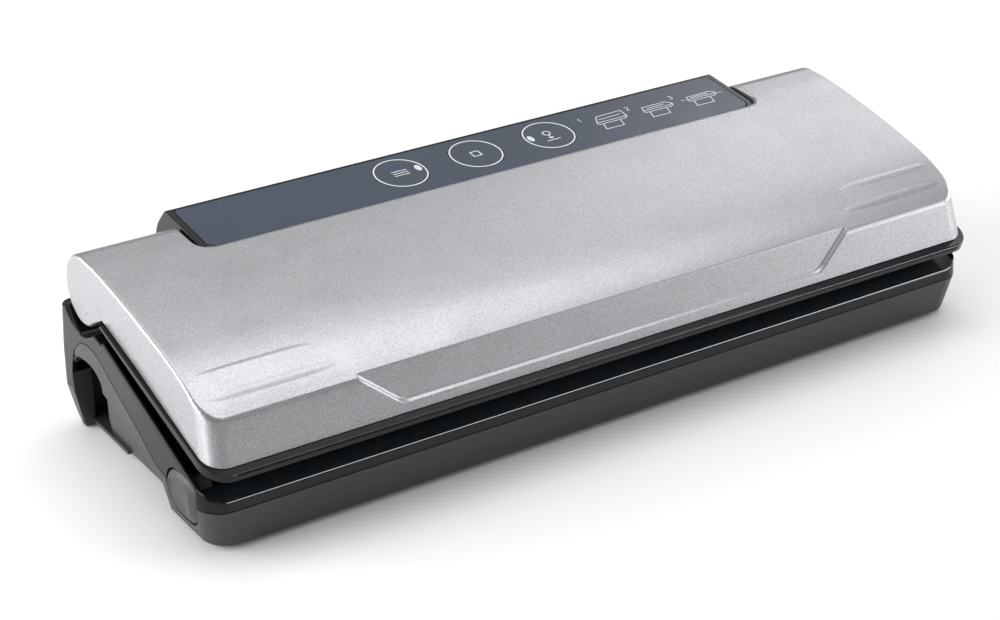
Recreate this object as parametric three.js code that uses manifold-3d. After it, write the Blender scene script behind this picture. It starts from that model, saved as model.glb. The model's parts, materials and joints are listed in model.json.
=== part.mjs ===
// A kitchen vacuum sealer: a long low base with a sloping deck, a hinged silver lid and a control pod
// that stands in a notch of the lid. Millimetres, +X to the right, +Y to the back, +Z up.
import * as THREE from "three";
import { mergeVertices } from "three/addons/utils/BufferGeometryUtils.js";
import Module from "manifold-3d";

const wasm = await Module();
wasm.setup();

// ---- driving dimensions ----
const REAR_Y = 127; // rear wall at the corners
const BACK_Y = 135.5; // rear wall behind the control pod, the rearmost point
const BODY_Z = 2; // underside of the base, on its feet
const WALL = 2.4; // wall of the moulded shells
const GAP = 0.3; // clearance between neighbouring pieces
const FAR = 400; // longer than the object, for cutters

const SEAM_Z = 18.7; // parting line of the two base shells at the front
const SEAM_GAP = 0.15; // each shell stays this far from the parting line
const DECK_Z = 23.7; // height of the deck plane at y = 0
const DECK_TILT = THREE.MathUtils.degToRad(19.7);
const LID_Z = 35.5; // height of the lid's underside plane at y = 0, with the lid as it rests
const LID_TILT = THREE.MathUtils.degToRad(16.2);
const HINGE = { y: 104, z: 68 }; // lid hinge axis, parallel to X
const BARREL = { y: 105.2, z: 68.1 }; // middle of the lid's rounded rear end, a little behind the hinge
const BARREL_R = 14.8;
const CRADLE_R = 17.8; // hollow of the base that the lid's rear end turns in
const EAR_Z = 56.2; // top of the base behind the cradle
const RAIL_X = 187.2; // the deck's side rails lie outside this
const RAIL_H = 1.5;
const SHELF_Z = 54.6; // flat of the base that the control pod stands on

const COVER_X = 188; // half width of the silver cover at its lower edge
const RIM_X = 190.5; // half width of the black lid rim
const RIM = { u: -7.2, v: 3.9 }; // upper front edge of the rim, in the lid's frame
const COVER_FLARE = 5e-5; // the cover widens this much to the back, for each millimetre
const NOTCH_X = 142.7; // half width of the lid's notch
const NOTCH_Y = 87.5; // front edge of the notch
const POD_X = 140.5; // half width of the control pod
const POD_R = 19.7; // front of the pod is round about the hinge axis
const NOTCH_R = 20.7; // the lid stays outside this radius in the notch
const PANEL = { y: 88.4, z: 80.2, tilt: THREE.MathUtils.degToRad(6.4), depth: 34.8 };
const PANEL_X = 137.3; // half width of the blue panel
const PANEL_T = 1;
const KEY_R = 12;
const KEY_PITCH = 38;
const KEY_V = 19.1; // distance of the keys from the panel's front edge
const LENS_R = 1.2;

const TROUGH = { x: 157, u0: 36, u1: 64, depth: 10.5 };
const SEAL = { x: 162, u0: 31, u1: 69, width: 4.4, corner: 7 }; // middle line of both gaskets
const BAR = { x: 155, u0: 12.8, u1: 20.2 }; // heater bar on the deck
const HOOK = { x0: 171.5, x1: 174.5, u0: 18, u1: 24, tooth: 2, drop: 18 };
const LATCH_TRAVEL = 3;
const isRear = (y) => y > 60; // the rear screws sit deeper than the front ones
const SCREW_SPOTS = [[-150, 6], [0, 6], [150, 6], [-130, 117], [0, 117], [130, 117]];
const FOOT_SPOTS = [[-150, 22], [150, 22], [-150, 104], [150, 104]];
const MOTOR = { y: 95, z: 24, r: 14, x0: 28, x1: 72 };
const PORT = { x: 96, u: 50 }; // vacuum intake in the trough floor

const STEPS = 12; // segments of a large arc
const ROUND = 32; // sides of a key, and of its hole
const SLEEVE = 48; // sides of the large cuts about the hinge axis
const FRONT_Y = RIM.u * Math.cos(LID_TILT) - RIM.v * Math.sin(LID_TILT); // the foremost point
const CENTRE_Y = (FRONT_Y + BACK_Y) / 2;

// ---- materials ----
const finish = (color, roughness, metalness = 0) =>
  new THREE.MeshStandardMaterial({ color, roughness, metalness });
const SILVER = finish(0xb9bbc0, 0.36, 0.6);
const GLOSS_BLACK = finish(0x0d0f11, 0.14);
const DARK_GREY = finish(0x3c3c3e, 0.42);
const SLATE = finish(0x3c4656, 0.3);
const RUBBER = finish(0x1c1c1e, 0.75);
const SILICONE = finish(0xb24a35, 0.6);
const FOAM = finish(0x2a2b2d, 0.9);
const STEEL = finish(0xb6b8ba, 0.3, 1);
const NICHROME = finish(0x8f8a82, 0.4, 1);
const PTFE = finish(0xa88a60, 0.5);
const BOARD = finish(0x1f5a36, 0.5);
const COPPER = finish(0xa8552c, 0.35, 1);
const NYLON = finish(0xdedcd4, 0.5);
const LENS = finish(0xdfe6ea, 0.2);
const CLEAR_RUBBER = finish(0xd4d4d0, 0.5);

// ---- solids ----
const polar = (r, degrees, centre = HINGE) => {
  const a = THREE.MathUtils.degToRad(degrees);
  return [centre.y + r * Math.cos(a), centre.z + r * Math.sin(a)];
};

const arc = (r, from, to, centre = HINGE, steps = STEPS) =>
  Array.from({ length: steps + 1 }, (_, i) => polar(r, from + ((to - from) * i) / steps, centre));

const tilted = (y, z, angle) =>
  new THREE.Matrix4().makeTranslation(0, y, z).multiply(new THREE.Matrix4().makeRotationX(angle));
const DECK = tilted(0, DECK_Z, DECK_TILT); // local x, u (up the slope), v (out of the deck)
const LID = tilted(0, LID_Z, LID_TILT);
const TOP = tilted(PANEL.y, PANEL.z, PANEL.tilt); // local x, v (back), w (out of the panel)

// Where a point of the lid's frame lies in the deck's frame once the lid is latched.
const hingeIn = (frame) => new THREE.Vector3(0, HINGE.y, HINGE.z).applyMatrix4(frame.clone().invert());
const LATCHED = hingeIn(DECK).sub(hingeIn(LID));

const shapeOf = (points) => new THREE.Shape(points.map(([a, b]) => new THREE.Vector2(a, b)));

const extruded = (points, depth, holes = []) => {
  const shape = shapeOf(points);
  shape.holes = holes.map(shapeOf);
  return new THREE.ExtrudeGeometry(shape, { depth, bevelEnabled: false });
};

// An outline in Y and Z, drawn out along X.
const prismX = (points, x0, x1) => {
  const axes = new THREE.Matrix4().makeBasis(
    new THREE.Vector3(0, 1, 0), new THREE.Vector3(0, 0, 1), new THREE.Vector3(1, 0, 0));
  const low = Math.min(x0, x1);
  return extruded(points, Math.abs(x1 - x0)).applyMatrix4(axes).translate(low, 0, 0);
};

// An outline in X and Z, drawn out along Y.
const prismY = (points, y0, y1) => {
  const flipped = points.map(([x, z]) => [x, -z]);
  return extruded(flipped, y1 - y0).rotateX(-Math.PI / 2).translate(0, y0, 0);
};

const prismZ = (points, z0, z1, holes = []) => extruded(points, z1 - z0, holes).translate(0, 0, z0);

const box = (x0, x1, y0, y1, z0, z1) => {
  const size = [Math.abs(x1 - x0), y1 - y0, z1 - z0];
  return new THREE.BoxGeometry(...size).translate((x0 + x1) / 2, (y0 + y1) / 2, (z0 + z1) / 2);
};

const rodX = (r, x0, x1, y, z, sides = 16) =>
  new THREE.CylinderGeometry(r, r, Math.abs(x1 - x0), sides).rotateZ(Math.PI / 2)
    .translate((x0 + x1) / 2, y, z);

const rodZ = (r, z0, z1, x, y, sides = 16) =>
  new THREE.CylinderGeometry(r, r, z1 - z0, sides).rotateX(Math.PI / 2).translate(x, y, (z0 + z1) / 2);

// A turned piece about local Z: profile points are [radius, height].
const turned = (profile, sides = 16) =>
  new THREE.LatheGeometry(profile.map(([r, h]) => new THREE.Vector2(r, h)), sides).rotateX(Math.PI / 2);

// A rectangle in plan with its own corner radius at the front and at the back.
const plan = (halfX, y0, y1, front, rear, steps = 6) => {
  const corner = (cx, cy, r, from) => Array.from({ length: steps + 1 }, (_, i) => {
    const a = ((from + (90 * i) / steps) * Math.PI) / 180;
    return [cx + r * Math.cos(a), cy + r * Math.sin(a)];
  });
  return [
    ...corner(halfX - rear, y1 - rear, rear, 0), ...corner(-halfX + rear, y1 - rear, rear, 90),
    ...corner(-halfX + front, y0 + front, front, 180), ...corner(halfX - front, y0 + front, front, 270)];
};

// A closed skin over level outlines that all have the same number of points, lowest first.
const loft = (levels) => {
  const n = levels[0].points.length;
  const position = levels.flatMap(({ z, points }) => points.flatMap(([x, y]) => [x, y, z]));
  const cap = THREE.ShapeUtils.triangulateShape(
    levels[0].points.map(([x, y]) => new THREE.Vector2(x, y)), []);
  const top = (levels.length - 1) * n;
  const index = cap.flatMap(([a, b, c]) => [a, c, b, top + a, top + b, top + c]);
  for (let k = 0; k < levels.length - 1; k++) {
    for (let i = 0; i < n; i++) {
      const a = k * n + i;
      const b = k * n + ((i + 1) % n);
      index.push(a, b, b + n, a, b + n, a + n);
    }
  }
  const geometry = new THREE.BufferGeometry();
  geometry.setAttribute("position", new THREE.Float32BufferAttribute(position, 3));
  geometry.setIndex(index);
  return geometry;
};

const solid = (geometry, matrix = new THREE.Matrix4()) => {
  const bare = geometry.clone().applyMatrix4(matrix);
  bare.deleteAttribute("normal");
  bare.deleteAttribute("uv");
  const merged = mergeVertices(bare, 1e-4);
  return new wasm.Manifold(new wasm.Mesh({
    numProp: 3,
    vertProperties: merged.attributes.position.array,
    triVerts: new Uint32Array(merged.index.array),
  }));
};

const joined = (...geometries) => geometries.map((g) => solid(g)).reduce((a, b) => a.add(b));

const geometryOf = (body) => {
  const mesh = body.getMesh();
  const geometry = new THREE.BufferGeometry();
  geometry.setAttribute("position", new THREE.BufferAttribute(new Float32Array(mesh.vertProperties), 3));
  geometry.setIndex(new THREE.BufferAttribute(new Uint32Array(mesh.triVerts), 1));
  geometry.computeVertexNormals();
  return geometry;
};

const group = new THREE.Group();
const body = new THREE.Group();
body.position.y = -CENTRE_Y;
group.add(body);

const add = (name, geometry, material, matrix) => {
  const mesh = new THREE.Mesh(geometry, material);
  mesh.name = name;
  if (matrix) mesh.applyMatrix4(matrix);
  body.add(mesh);
  return mesh;
};

const SIDES = [["left", -1], ["right", 1]];

// ---- the base: one drafted block, split along the parting line ----
const BASE_LEVELS = [
  { z: BODY_Z, x: 186, front: 0, rear: 123 },
  { z: 7, x: 187, front: -0.8, rear: 125.4 },
  { z: SEAM_Z, x: 189.4, front: -2.5, rear: REAR_Y },
  { z: 23.4, x: 189.5, front: -1.8, rear: REAR_Y },
  { z: 36, x: 189.5, front: -1.8, rear: 126.8 },
  { z: 70, x: 189.5, front: -1.8, rear: 122.6 },
];
const baseBlock = (inset) => loft(BASE_LEVELS.map(({ z, x, front, rear }) =>
  ({ z, points: plan(x - inset, front + inset, rear - inset, 11 - inset, 5 - inset / 2, 5) })));

// The middle of the rear wall stands further back, below the control pod.
const backBlock = (inset) => loft([[BODY_Z, 133], [8, 134.4], [22, BACK_Y], [70, BACK_Y]]
  .map(([z, rear]) => ({ z, points: plan(POD_X - inset, 110, rear - inset, 3, 7 - inset) })));
const block = (inset) => solid(baseBlock(inset)).add(solid(backBlock(inset)));

// Parting line in Y and Z: level at the front, up over the side arch, down again at the rear leg.
const SEAM = [
  [34.4, 20.4], [39, 21.3], [44.2, 23.7], [50.4, 27.2], [58, 31.4], [70.7, 37.3], [78.5, 41.1], [86.4, 45.5],
  [91, 47], [97, 47.6], [102.6, 46.5], [107, 44.2], [111, 40], [114.2, 34.5], [116.2, 26.5], [117, 20.2]];
const seamLine = (shift) => [
  [-20, SEAM_Z + shift], [20, SEAM_Z + shift], ...SEAM.map(([y, z]) => [y, z + shift]),
  [150, 20.4 + shift]];

const deckTop = (y, drop = 0) => DECK_Z - drop + y * Math.tan(DECK_TILT);

// Top of the base at its sides, from the front to the back, with the cradle of the lid's barrel.
const sideTop = (drop) => [
  [-20, deckTop(-20, drop)], [84, deckTop(84, drop)], [87.5, deckTop(84, drop)],
  ...arc(CRADLE_R + drop, 228, 322), [REAR_Y - 6, EAR_Z + 0.8 - drop], [150, EAR_Z - 1 - drop]];
const middleTop = (drop) => [[-20, deckTop(-20, drop)], [86.1, SHELF_Z - drop], [150, SHELF_Z - drop]];

const under = (line) => prismX([...line, [150, -20], [-20, -20]], -FAR, FAR);
const over = (line) => prismX([...line, [150, 120], [-20, 120]], -FAR, FAR);

// The arched opening in front of each rear leg, open below.
const ARCH = [
  [95, 38.2], [103, 38.4], [110, 37], [114.5, 33], [116, 28], [116, -8], [105, -8], [97.5, 15], [92, 24],
  [87.5, 31], [89, 35.4]];
const DEEP_ARCH = ARCH.map(([y, z]) => [y > 112 ? 123 : y, z]); // behind the leg's outer wall
const archCut = (side) => joined(
  prismX(ARCH, side * 179.8, side * FAR), prismX(DEEP_ARCH, side * 172, side * 181));

// The lower side wall leans in below a raised border.
const SKIRT = [
  [36, -8], [37.5, 14.6], [46.4, 18.2], [54, 21.9], [70, 27], [87, 31.5], [116, 31.5], [116, -8]];
const skirtCut = (side) => solid(prismX(SKIRT, side * 170, side * FAR)).intersect(
  solid(prismY([[180, -8], [180, BODY_Z], [187.8, 31], [187.8, 60], [FAR, 60], [FAR, -8]]
    .map(([x, z]) => [side * x, z]), -20, 160)));

// Oval of a release button in Y and Z, grown by a margin.
const BUTTON = { y: 20.6, z: 17.2, halfY: 13, halfZ: 12, lean: -0.26 };
const buttonOutline = (margin, steps = 24) => Array.from({ length: steps }, (_, i) => {
  const a = (2 * Math.PI * i) / steps;
  const c = Math.sign(Math.cos(a)) * Math.abs(Math.cos(a)) ** 0.64;
  const s = Math.sign(Math.sin(a)) * Math.abs(Math.sin(a)) ** 0.64;
  const z = (BUTTON.halfZ + margin) * s;
  return [BUTTON.y + (BUTTON.halfY + margin) * c + BUTTON.lean * z, BUTTON.z + z];
});
const BUTTON_BACK = 181.4; // inner face of a release button
const buttonHole = (side) =>
  solid(prismX(buttonOutline(0.5), side * (BUTTON_BACK - LATCH_TRAVEL - 0.5), side * FAR));

const cutSides = (body, cut) => SIDES.reduce((left, [, side]) => left.subtract(cut(side)), body);

const VENTS = { x: 38, y0: 44, y1: 68, pitch: 7, count: 9, width: 2.6 };
const INLET = { x0: -104, x1: -80, z0: 7, z1: 19.6, depth: 17 };

const lowerHousing = () => {
  let shell = block(0).intersect(solid(under(seamLine(-SEAM_GAP))));
  for (const [, side] of SIDES) shell = shell.add(solid(box(side * 180, side * 185.5, 116, 121, 0.6, 8)));
  const inside = solid(baseBlock(WALL)).intersect(solid(box(-FAR, FAR, -20, 36, 5, 80)))
    .add(solid(box(-176.5, 176.5, 34, 87, 5, 80)))
    .add(solid(box(-169.6, 169.6, 86, REAR_Y - 4.6, 5, 80)))
    .add(solid(box(-138, 138, 100, BACK_Y - 4.6, 5, 80)));
  shell = cutSides(shell.subtract(inside), skirtCut);
  shell = cutSides(cutSides(shell, archCut), buttonHole);
  for (const [x, y] of SCREW_SPOTS) {
    shell = shell.add(solid(rodZ(4.6, 4, isRear(y) ? 26 : 15, x, y, 8)));
    shell = shell.subtract(solid(rodZ(3.4, -5, isRear(y) ? 18 : 8, x, y, 8)));
    shell = shell.subtract(solid(rodZ(1.9, -5, 40, x, y, 8)));
  }
  for (const [, side] of SIDES) {
    shell = shell.add(solid(box(side * 148, side * 150, 17, 27, 4, 22.5))); // stop of a release spring
  }
  for (let i = 0; i < VENTS.count; i++) {
    const x = VENTS.x + (i - (VENTS.count - 1) / 2) * VENTS.pitch;
    const slot = box(x - VENTS.width / 2, x + VENTS.width / 2, VENTS.y0, VENTS.y1, -5, 8);
    shell = shell.subtract(solid(slot));
  }
  return shell.subtract(solid(
    box(INLET.x0 - GAP, INLET.x1 + GAP, BACK_Y - 12, BACK_Y + 5, INLET.z0 - GAP, INLET.z1 + GAP)));
};

const ringPlan = (grow) => {
  const corner = Math.max(1, SEAL.corner + grow);
  return plan(SEAL.x + grow, SEAL.u0 - grow, SEAL.u1 + grow, corner, corner);
};
const sealRing = (width, v0, v1, shift = 0) =>
  prismZ(ringPlan(width / 2), v0, v1, [ringPlan(-width / 2)]).translate(0, -shift, 0);

const BOSS_R = 3.8; // screw bosses of the upper housing
const bossFoot = (y) => (isRear(y) ? 26.4 : 15.4);
const upperHousing = () => {
  const top = solid(prismX([...sideTop(0), [150, -20], [-20, -20]], -FAR, -141))
    .add(solid(prismX([...sideTop(0), [150, -20], [-20, -20]], 141, FAR)))
    .add(solid(prismX([...middleTop(0), [150, -20], [-20, -20]], -141.5, 141.5)));
  const below = (line, x0, x1) => solid(prismX([...line, [150, -20], [-20, -20]], x0, x1));
  const inside = below(sideTop(2.6), -FAR, -143.5).add(below(sideTop(2.6), 143.5, FAR))
    .add(below(middleTop(2.6), -139, 139))
    .add(below(middleTop(2.6), -FAR, FAR).intersect(solid(box(-FAR, FAR, -20, 82, -20, 80))))
    .intersect(block(WALL));
  let shell = block(0).intersect(top).subtract(inside);
  const blocks = [
    box(-TROUGH.x - WALL, TROUGH.x + WALL, TROUGH.u0 - WALL, TROUGH.u1 + WALL, -TROUGH.depth - 2, -1),
    box(-BAR.x - WALL, BAR.x + WALL, BAR.u0 - WALL, BAR.u1 + WALL, -6.5, -1),
    prismZ(ringPlan(5), -4.2, -1)];
  for (const g of blocks) shell = shell.add(solid(g, DECK));
  for (const [, side] of SIDES) {
    const rail = solid(box(side * RAIL_X, side * FAR, 12, 89, -1, RAIL_H), DECK);
    shell = shell.add(rail.intersect(solid(baseBlock(0))));
  }
  for (const [x, y] of SCREW_SPOTS) {
    const high = isRear(y) ? SHELF_Z - 1 : deckTop(y, 1.5);
    shell = shell.add(solid(rodZ(BOSS_R, bossFoot(y), high, x, y, 8)));
  }
  shell = shell.intersect(solid(over(seamLine(SEAM_GAP))).add(
    SCREW_SPOTS.map(([x, y]) => solid(rodZ(BOSS_R, bossFoot(y), 50, x, y, 8)))
      .reduce((a, b) => a.add(b))));
  for (const [x, y] of SCREW_SPOTS) {
    shell = shell.subtract(solid(rodZ(1.8, 0, isRear(y) ? 36 : 22.4, x, y, 8)));
  }
  const cuts = [
    prismZ(plan(TROUGH.x, TROUGH.u0, TROUGH.u1, 6, 6), -TROUGH.depth, 20),
    box(-BAR.x - GAP, BAR.x + GAP, BAR.u0 - GAP, BAR.u1 + GAP, -4.5, 20),
    sealRing(SEAL.width + 2 * GAP, -1.6, 20),
    rodZ(3.1, -20, 0, PORT.x, PORT.u)];
  for (const g of cuts) shell = shell.subtract(solid(g, DECK));
  for (const [, side] of SIDES) {
    shell = shell.subtract(solid(box(side * 168.5, side * 175.5, 13.4, 24.6, -30, 20), DECK));
  }
  return cutSides(shell, buttonHole);
};

// ---- control pod ----
const onPanel = (v, w) => {
  const p = new THREE.Vector3(0, v, w).applyMatrix4(TOP);
  return [p.y, p.z];
};
const POD_BACK = [[128, 80.2], [131.7, 75.8], [134, 71], [135.2, 65]]; // leans back from the panel
const podProfile = (inset) => [
  onPanel(inset, -inset), onPanel(PANEL.depth + 0.6 - inset, -inset),
  onPanel(PANEL.depth + 1.6 - inset, -0.7 - inset),
  ...POD_BACK.map(([y, z]) => [y - inset, z - inset / 2]),
  [BACK_Y - inset, SHELF_Z + 0.2 - 3 * inset], [90.4, SHELF_Z + 0.2 - 3 * inset],
  ...arc(POD_R - inset, 216, 144, HINGE, 8)];

const KEYS = ["seal", "stop", "vacuum"];
const keyX = (i) => (i - 1) * KEY_PITCH;

const controlPod = () => {
  let shell = solid(prismX(podProfile(0), -POD_X, POD_X));
  shell = shell.subtract(solid(prismX(podProfile(WALL), -POD_X + WALL, POD_X - WALL)));
  const bed = prismZ(plan(PANEL_X + GAP, 1.2 - GAP, PANEL.depth - 1 + GAP, 5, 2), -PANEL_T - 0.05, 5);
  shell = shell.subtract(solid(bed, TOP));
  for (let i = 0; i < KEYS.length; i++) {
    shell = shell.subtract(solid(rodZ(KEY_R + 0.5, -8, 5, keyX(i), KEY_V, ROUND), TOP));
  }
  for (const [, side] of SIDES) {
    shell = shell.subtract(solid(rodX(3.3, side * 130, side * 145, HINGE.y, HINGE.z)));
  }
  return shell;
};

const controlPanel = () => {
  let plate = solid(prismZ(plan(PANEL_X, 1.2, PANEL.depth - 1, 5, 2), -PANEL_T + 0.1, 0.1));
  for (let i = 0; i < KEYS.length; i++) {
    plate = plate.subtract(solid(rodZ(KEY_R + 0.35, -5, 5, keyX(i), KEY_V, ROUND)));
  }
  return plate;
};

const LENS_SPOTS = { seal: [9.4, 0.5], vacuum: [-9.4, 0.5] }; // from the middle of the key

const keyCap = (name) => {
  const cap = solid(turned([
    [0, -8.3], [2, -8.3], [2, -4.4], [KEY_R - 0.2, -4.4], [KEY_R - 0.2, -1.6], [KEY_R, -1.6], [KEY_R, 0.05],
    [0, 0.05]], ROUND));
  const spot = LENS_SPOTS[name];
  return spot ? cap.subtract(solid(rodZ(LENS_R + GAP, -2.6, 5, spot[0], spot[1], 12))) : cap;
};

const addControls = () => {
  add("control_pod", geometryOf(controlPod()), GLOSS_BLACK);
  add("control_panel", geometryOf(controlPanel()), SLATE, TOP);
  add("control_board", box(-118, 118, 5, 31, -14.4, -12.8), BOARD, TOP);
  KEYS.forEach((name, i) => {
    const place = TOP.clone().multiply(new THREE.Matrix4().makeTranslation(keyX(i), KEY_V, 0));
    add("key_" + name, geometryOf(keyCap(name)), SLATE, place);
    const knob = joined(box(-3, 3, -3, 3, -12.6, -10.4), rodZ(1.7, -11, -9.1, 0, 0, 12));
    add("tact_switch_" + name, geometryOf(knob), RUBBER, place);
    const spot = LENS_SPOTS[name];
    if (spot) add("indicator_" + name, rodZ(LENS_R, -2.3, 0.05, spot[0], spot[1], 12), LENS, place);
  });
  for (const [side, s] of SIDES) {
    const pin = turned([[0, 0], [4.6, 0], [4.6, 1.6], [3, 1.6], [3, 14.5], [2.4, 15.1], [0, 15.1]]);
    pin.rotateY((s * Math.PI) / 2).translate(s * 136, HINGE.y, HINGE.z);
    add("hinge_pin_" + side, pin, STEEL);
  }
};

// ---- lid ----
const LID_CREST = [
  [1.7, 55.4], [8.5, 60], [18, 65.2], [30, 69.5], [44, 73], [61, 76.7], [77, 79.7], [90, 81.7],
  [97, 82.5]];
const LID_EDGE = [[-3.5, 38.5], [87, 62.8]]; // lower edge of the cover, front and rear
const coverProfile = () => [
  LID_EDGE[0], ...LID_CREST, ...arc(BARREL_R, 90, -110, BARREL), [97, 55.9], [89.5, 61.4], LID_EDGE[1]];
const coverLevels = (inset) => [
  { z: 20, x: COVER_X + 1, y: -12 }, { z: 38, x: COVER_X, y: -4.3 }, { z: 55.4, x: 186.4, y: 1 },
  { z: 100, x: 185.4, y: 3 }]
  .map(({ z, x, y }) => ({ z, points: plan(x - inset, y + inset, 150, 11 - inset, 4, 8)
    .map(([px, py]) => [px * (1 + Math.max(0, py - 10) * COVER_FLARE), py]) }));

// Shallow tapered field in the lid's front face.
const frontField = () => {
  const at = (half, y, z) => [[-half, y, z], [half, y, z]];
  const low = [...at(103.5, -0.8, 42.3), ...at(103.5, -30, 42.3)];
  const high = [...at(121.5, 2.05, 57), ...at(121.5, -30, 57)];
  const order = [0, 1, 3, 2];
  const points = [...order.map((i) => low[i]), ...order.map((i) => high[i])];
  const geometry = new THREE.BufferGeometry();
  geometry.setAttribute("position", new THREE.Float32BufferAttribute(points.flat(), 3));
  const quads = [[0, 1, 2, 3], [7, 6, 5, 4], [0, 4, 5, 1], [1, 5, 6, 2], [2, 6, 7, 3], [3, 7, 4, 0]];
  geometry.setIndex(quads.flatMap(([a, b, c, d]) => [a, b, c, a, c, d]));
  return geometry;
};

const notch = (grow) => prismZ(plan(NOTCH_X + grow, NOTCH_Y - grow, 170, 8 + grow, 1), 40, 120);

const lidCover = () => {
  let shell = solid(prismX(coverProfile(), -FAR, FAR)).intersect(solid(loft(coverLevels(0))));
  const inner = LID_CREST.map(([y, z], i) => [y + (i ? 0.8 : 2), z - (i ? 2.1 : 1.8)]);
  const main = solid(prismX([[-9, 18], ...inner.slice(0, 7), [86.2, 78.9], [86.2, 18]], -FAR, FAR));
  const middle = solid(box(-NOTCH_X, NOTCH_X, 84, 90, 18, 78.9));
  const arms = solid(prismX([
    [84, 78.7], [90, 79.6], ...arc(BARREL_R - WALL, 90, -100, BARREL), [97.6, 58.6], [90.6, 63.9],
    [88.6, 65.4], [84, 65.4]], -FAR, FAR))
    .subtract(solid(box(-NOTCH_X - WALL, NOTCH_X + WALL, 86.2, 150, 0, 120)));
  shell = shell.subtract(main.add(middle).add(arms).intersect(solid(loft(coverLevels(WALL)))));
  shell = shell.subtract(solid(notch(0)));
  shell = shell.subtract(solid(rodX(NOTCH_R, -NOTCH_X, NOTCH_X, HINGE.y, HINGE.z, SLEEVE)));
  for (const [, side] of SIDES) {
    shell = shell.add(solid(rodX(6.5, side * (NOTCH_X + 1), side * 153, HINGE.y, HINGE.z)));
    shell = shell.subtract(solid(rodX(3.4, side * 130, side * 151.6, HINGE.y, HINGE.z)));
  }
  return shell.subtract(solid(frontField()));
};

const lidFrame = () => {
  const U = (d) => d - LATCHED.y; // a deck distance, in the lid's frame
  const section = [[RIM.u, 0.8], [RIM.u + 1, 0], [89, 0], [89, 1.6], [-2.5, 3.5], [RIM.u, RIM.v]];
  const plate = solid(prismX(section, -FAR, FAR))
    .intersect(solid(prismZ(plan(RIM_X, RIM.u, 120, 12, 1, 8), -20, 20)));
  const parts = [
    box(-TROUGH.x - WALL, TROUGH.x + WALL, U(TROUGH.u0) - WALL, U(TROUGH.u1) + WALL, 1, 10.5),
    ringBlock(U(0)), box(-BAR.x - WALL, BAR.x + WALL, U(BAR.u0) - WALL, U(BAR.u1) + WALL, 1, 7)];
  let frame = parts.reduce((sum, g) => sum.add(solid(g)), plate);
  for (const [, side] of SIDES) frame = frame.add(solid(box(side * 178, side * 180, 12, 80, 1, 9)));
  const cuts = [
    prismZ(plan(TROUGH.x, U(TROUGH.u0), U(TROUGH.u1), 6, 6), -5, 8.3),
    box(-BAR.x - GAP, BAR.x + GAP, U(BAR.u0) - GAP, U(BAR.u1) + GAP, -5, 4.6),
    sealRing(SEAL.width + 2 * GAP, -5, 1.6, LATCHED.y)];
  frame = cuts.reduce((left, g) => left.subtract(solid(g)), frame);
  for (const [, side] of SIDES) {
    const [x0, x1] = [side * (HOOK.x0 - GAP), side * (HOOK.x1 + GAP)];
    frame = frame.subtract(solid(box(x0, x1, U(HOOK.u0) - GAP, U(HOOK.u1) + GAP, -5, 20)));
  }
  const placed = solid(geometryOf(frame), LID);
  const guardSection = [...arc(NOTCH_R + 2, 157, 206, HINGE, 8), ...arc(NOTCH_R, 206, 157, HINGE, 8)];
  const guard = solid(prismX(guardSection, -NOTCH_X + GAP, NOTCH_X - GAP));
  return placed.subtract(solid(rodX(NOTCH_R, -NOTCH_X - 0.6, NOTCH_X + 0.6, HINGE.y, HINGE.z, SLEEVE)))
    .subtract(solid(rodX(17.2, -FAR, FAR, HINGE.y, HINGE.z, SLEEVE))).add(guard);
};

const ringBlock = (shift) => prismZ(ringPlan(5), 1, 4).translate(0, shift, 0);

const hook = (side) => {
  const u0 = HOOK.u0 - LATCHED.y;
  const u1 = HOOK.u1 - LATCHED.y;
  const stem = box(side * HOOK.x0, side * HOOK.x1, u0, u1, -HOOK.drop, 6);
  const head = box(side * (HOOK.x0 - 2.5), side * (HOOK.x1 + 2.5), u0 - 2, u1 + 2, 3.9, 6);
  const inner = HOOK.x0 - HOOK.tooth;
  const tooth = prismY([[HOOK.x0 + 1, -HOOK.drop], [HOOK.x0, -HOOK.drop], [inner, -HOOK.drop + 1.4],
    [inner, -HOOK.drop + 2], [HOOK.x0 + 1, -HOOK.drop + 2]].map(([x, v]) => [side * x, v]), u0, u1);
  return joined(stem, head, tooth);
};

const addLid = () => {
  add("lid_cover", geometryOf(lidCover()), SILVER);
  add("lid_frame", geometryOf(lidFrame()), GLOSS_BLACK);
  const pad = box(-BAR.x, BAR.x, BAR.u0 - LATCHED.y, BAR.u1 - LATCHED.y, -2.6, 4.3);
  add("pressure_pad", pad, SILICONE, LID);
  add("upper_gasket", sealRing(SEAL.width, -2.4, 1.3, LATCHED.y), FOAM, LID);
  for (const [side, s] of SIDES) add("lid_hook_" + side, geometryOf(hook(s)), GLOSS_BLACK, LID);
};

// ---- deck fittings ----
const addDeckFittings = () => {
  add("heater_bar", box(-BAR.x, BAR.x, BAR.u0, BAR.u1, -4.2, 0.3), SILICONE, DECK);
  add("heating_strip", box(-BAR.x + 3, BAR.x - 3, BAR.u0 + 2, BAR.u1 - 2, 0.35, 0.6), NICHROME, DECK);
  add("sealing_tape", box(-BAR.x + 0.5, BAR.x - 0.5, BAR.u0 + 0.3, BAR.u1 - 0.3, 0.65, 0.9), PTFE, DECK);
  add("lower_gasket", sealRing(SEAL.width, -1.3, 1.6), FOAM, DECK);
  const nozzle = turned([[0, -20], [2.8, -20], [2.8, -10.2], [5, -10.2], [5, -8.8], [1.4, -8.8], [1.4, -14],
    [0, -14]]);
  add("intake_nozzle", nozzle.translate(PORT.x, PORT.u, 0), NYLON, DECK);
};

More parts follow.
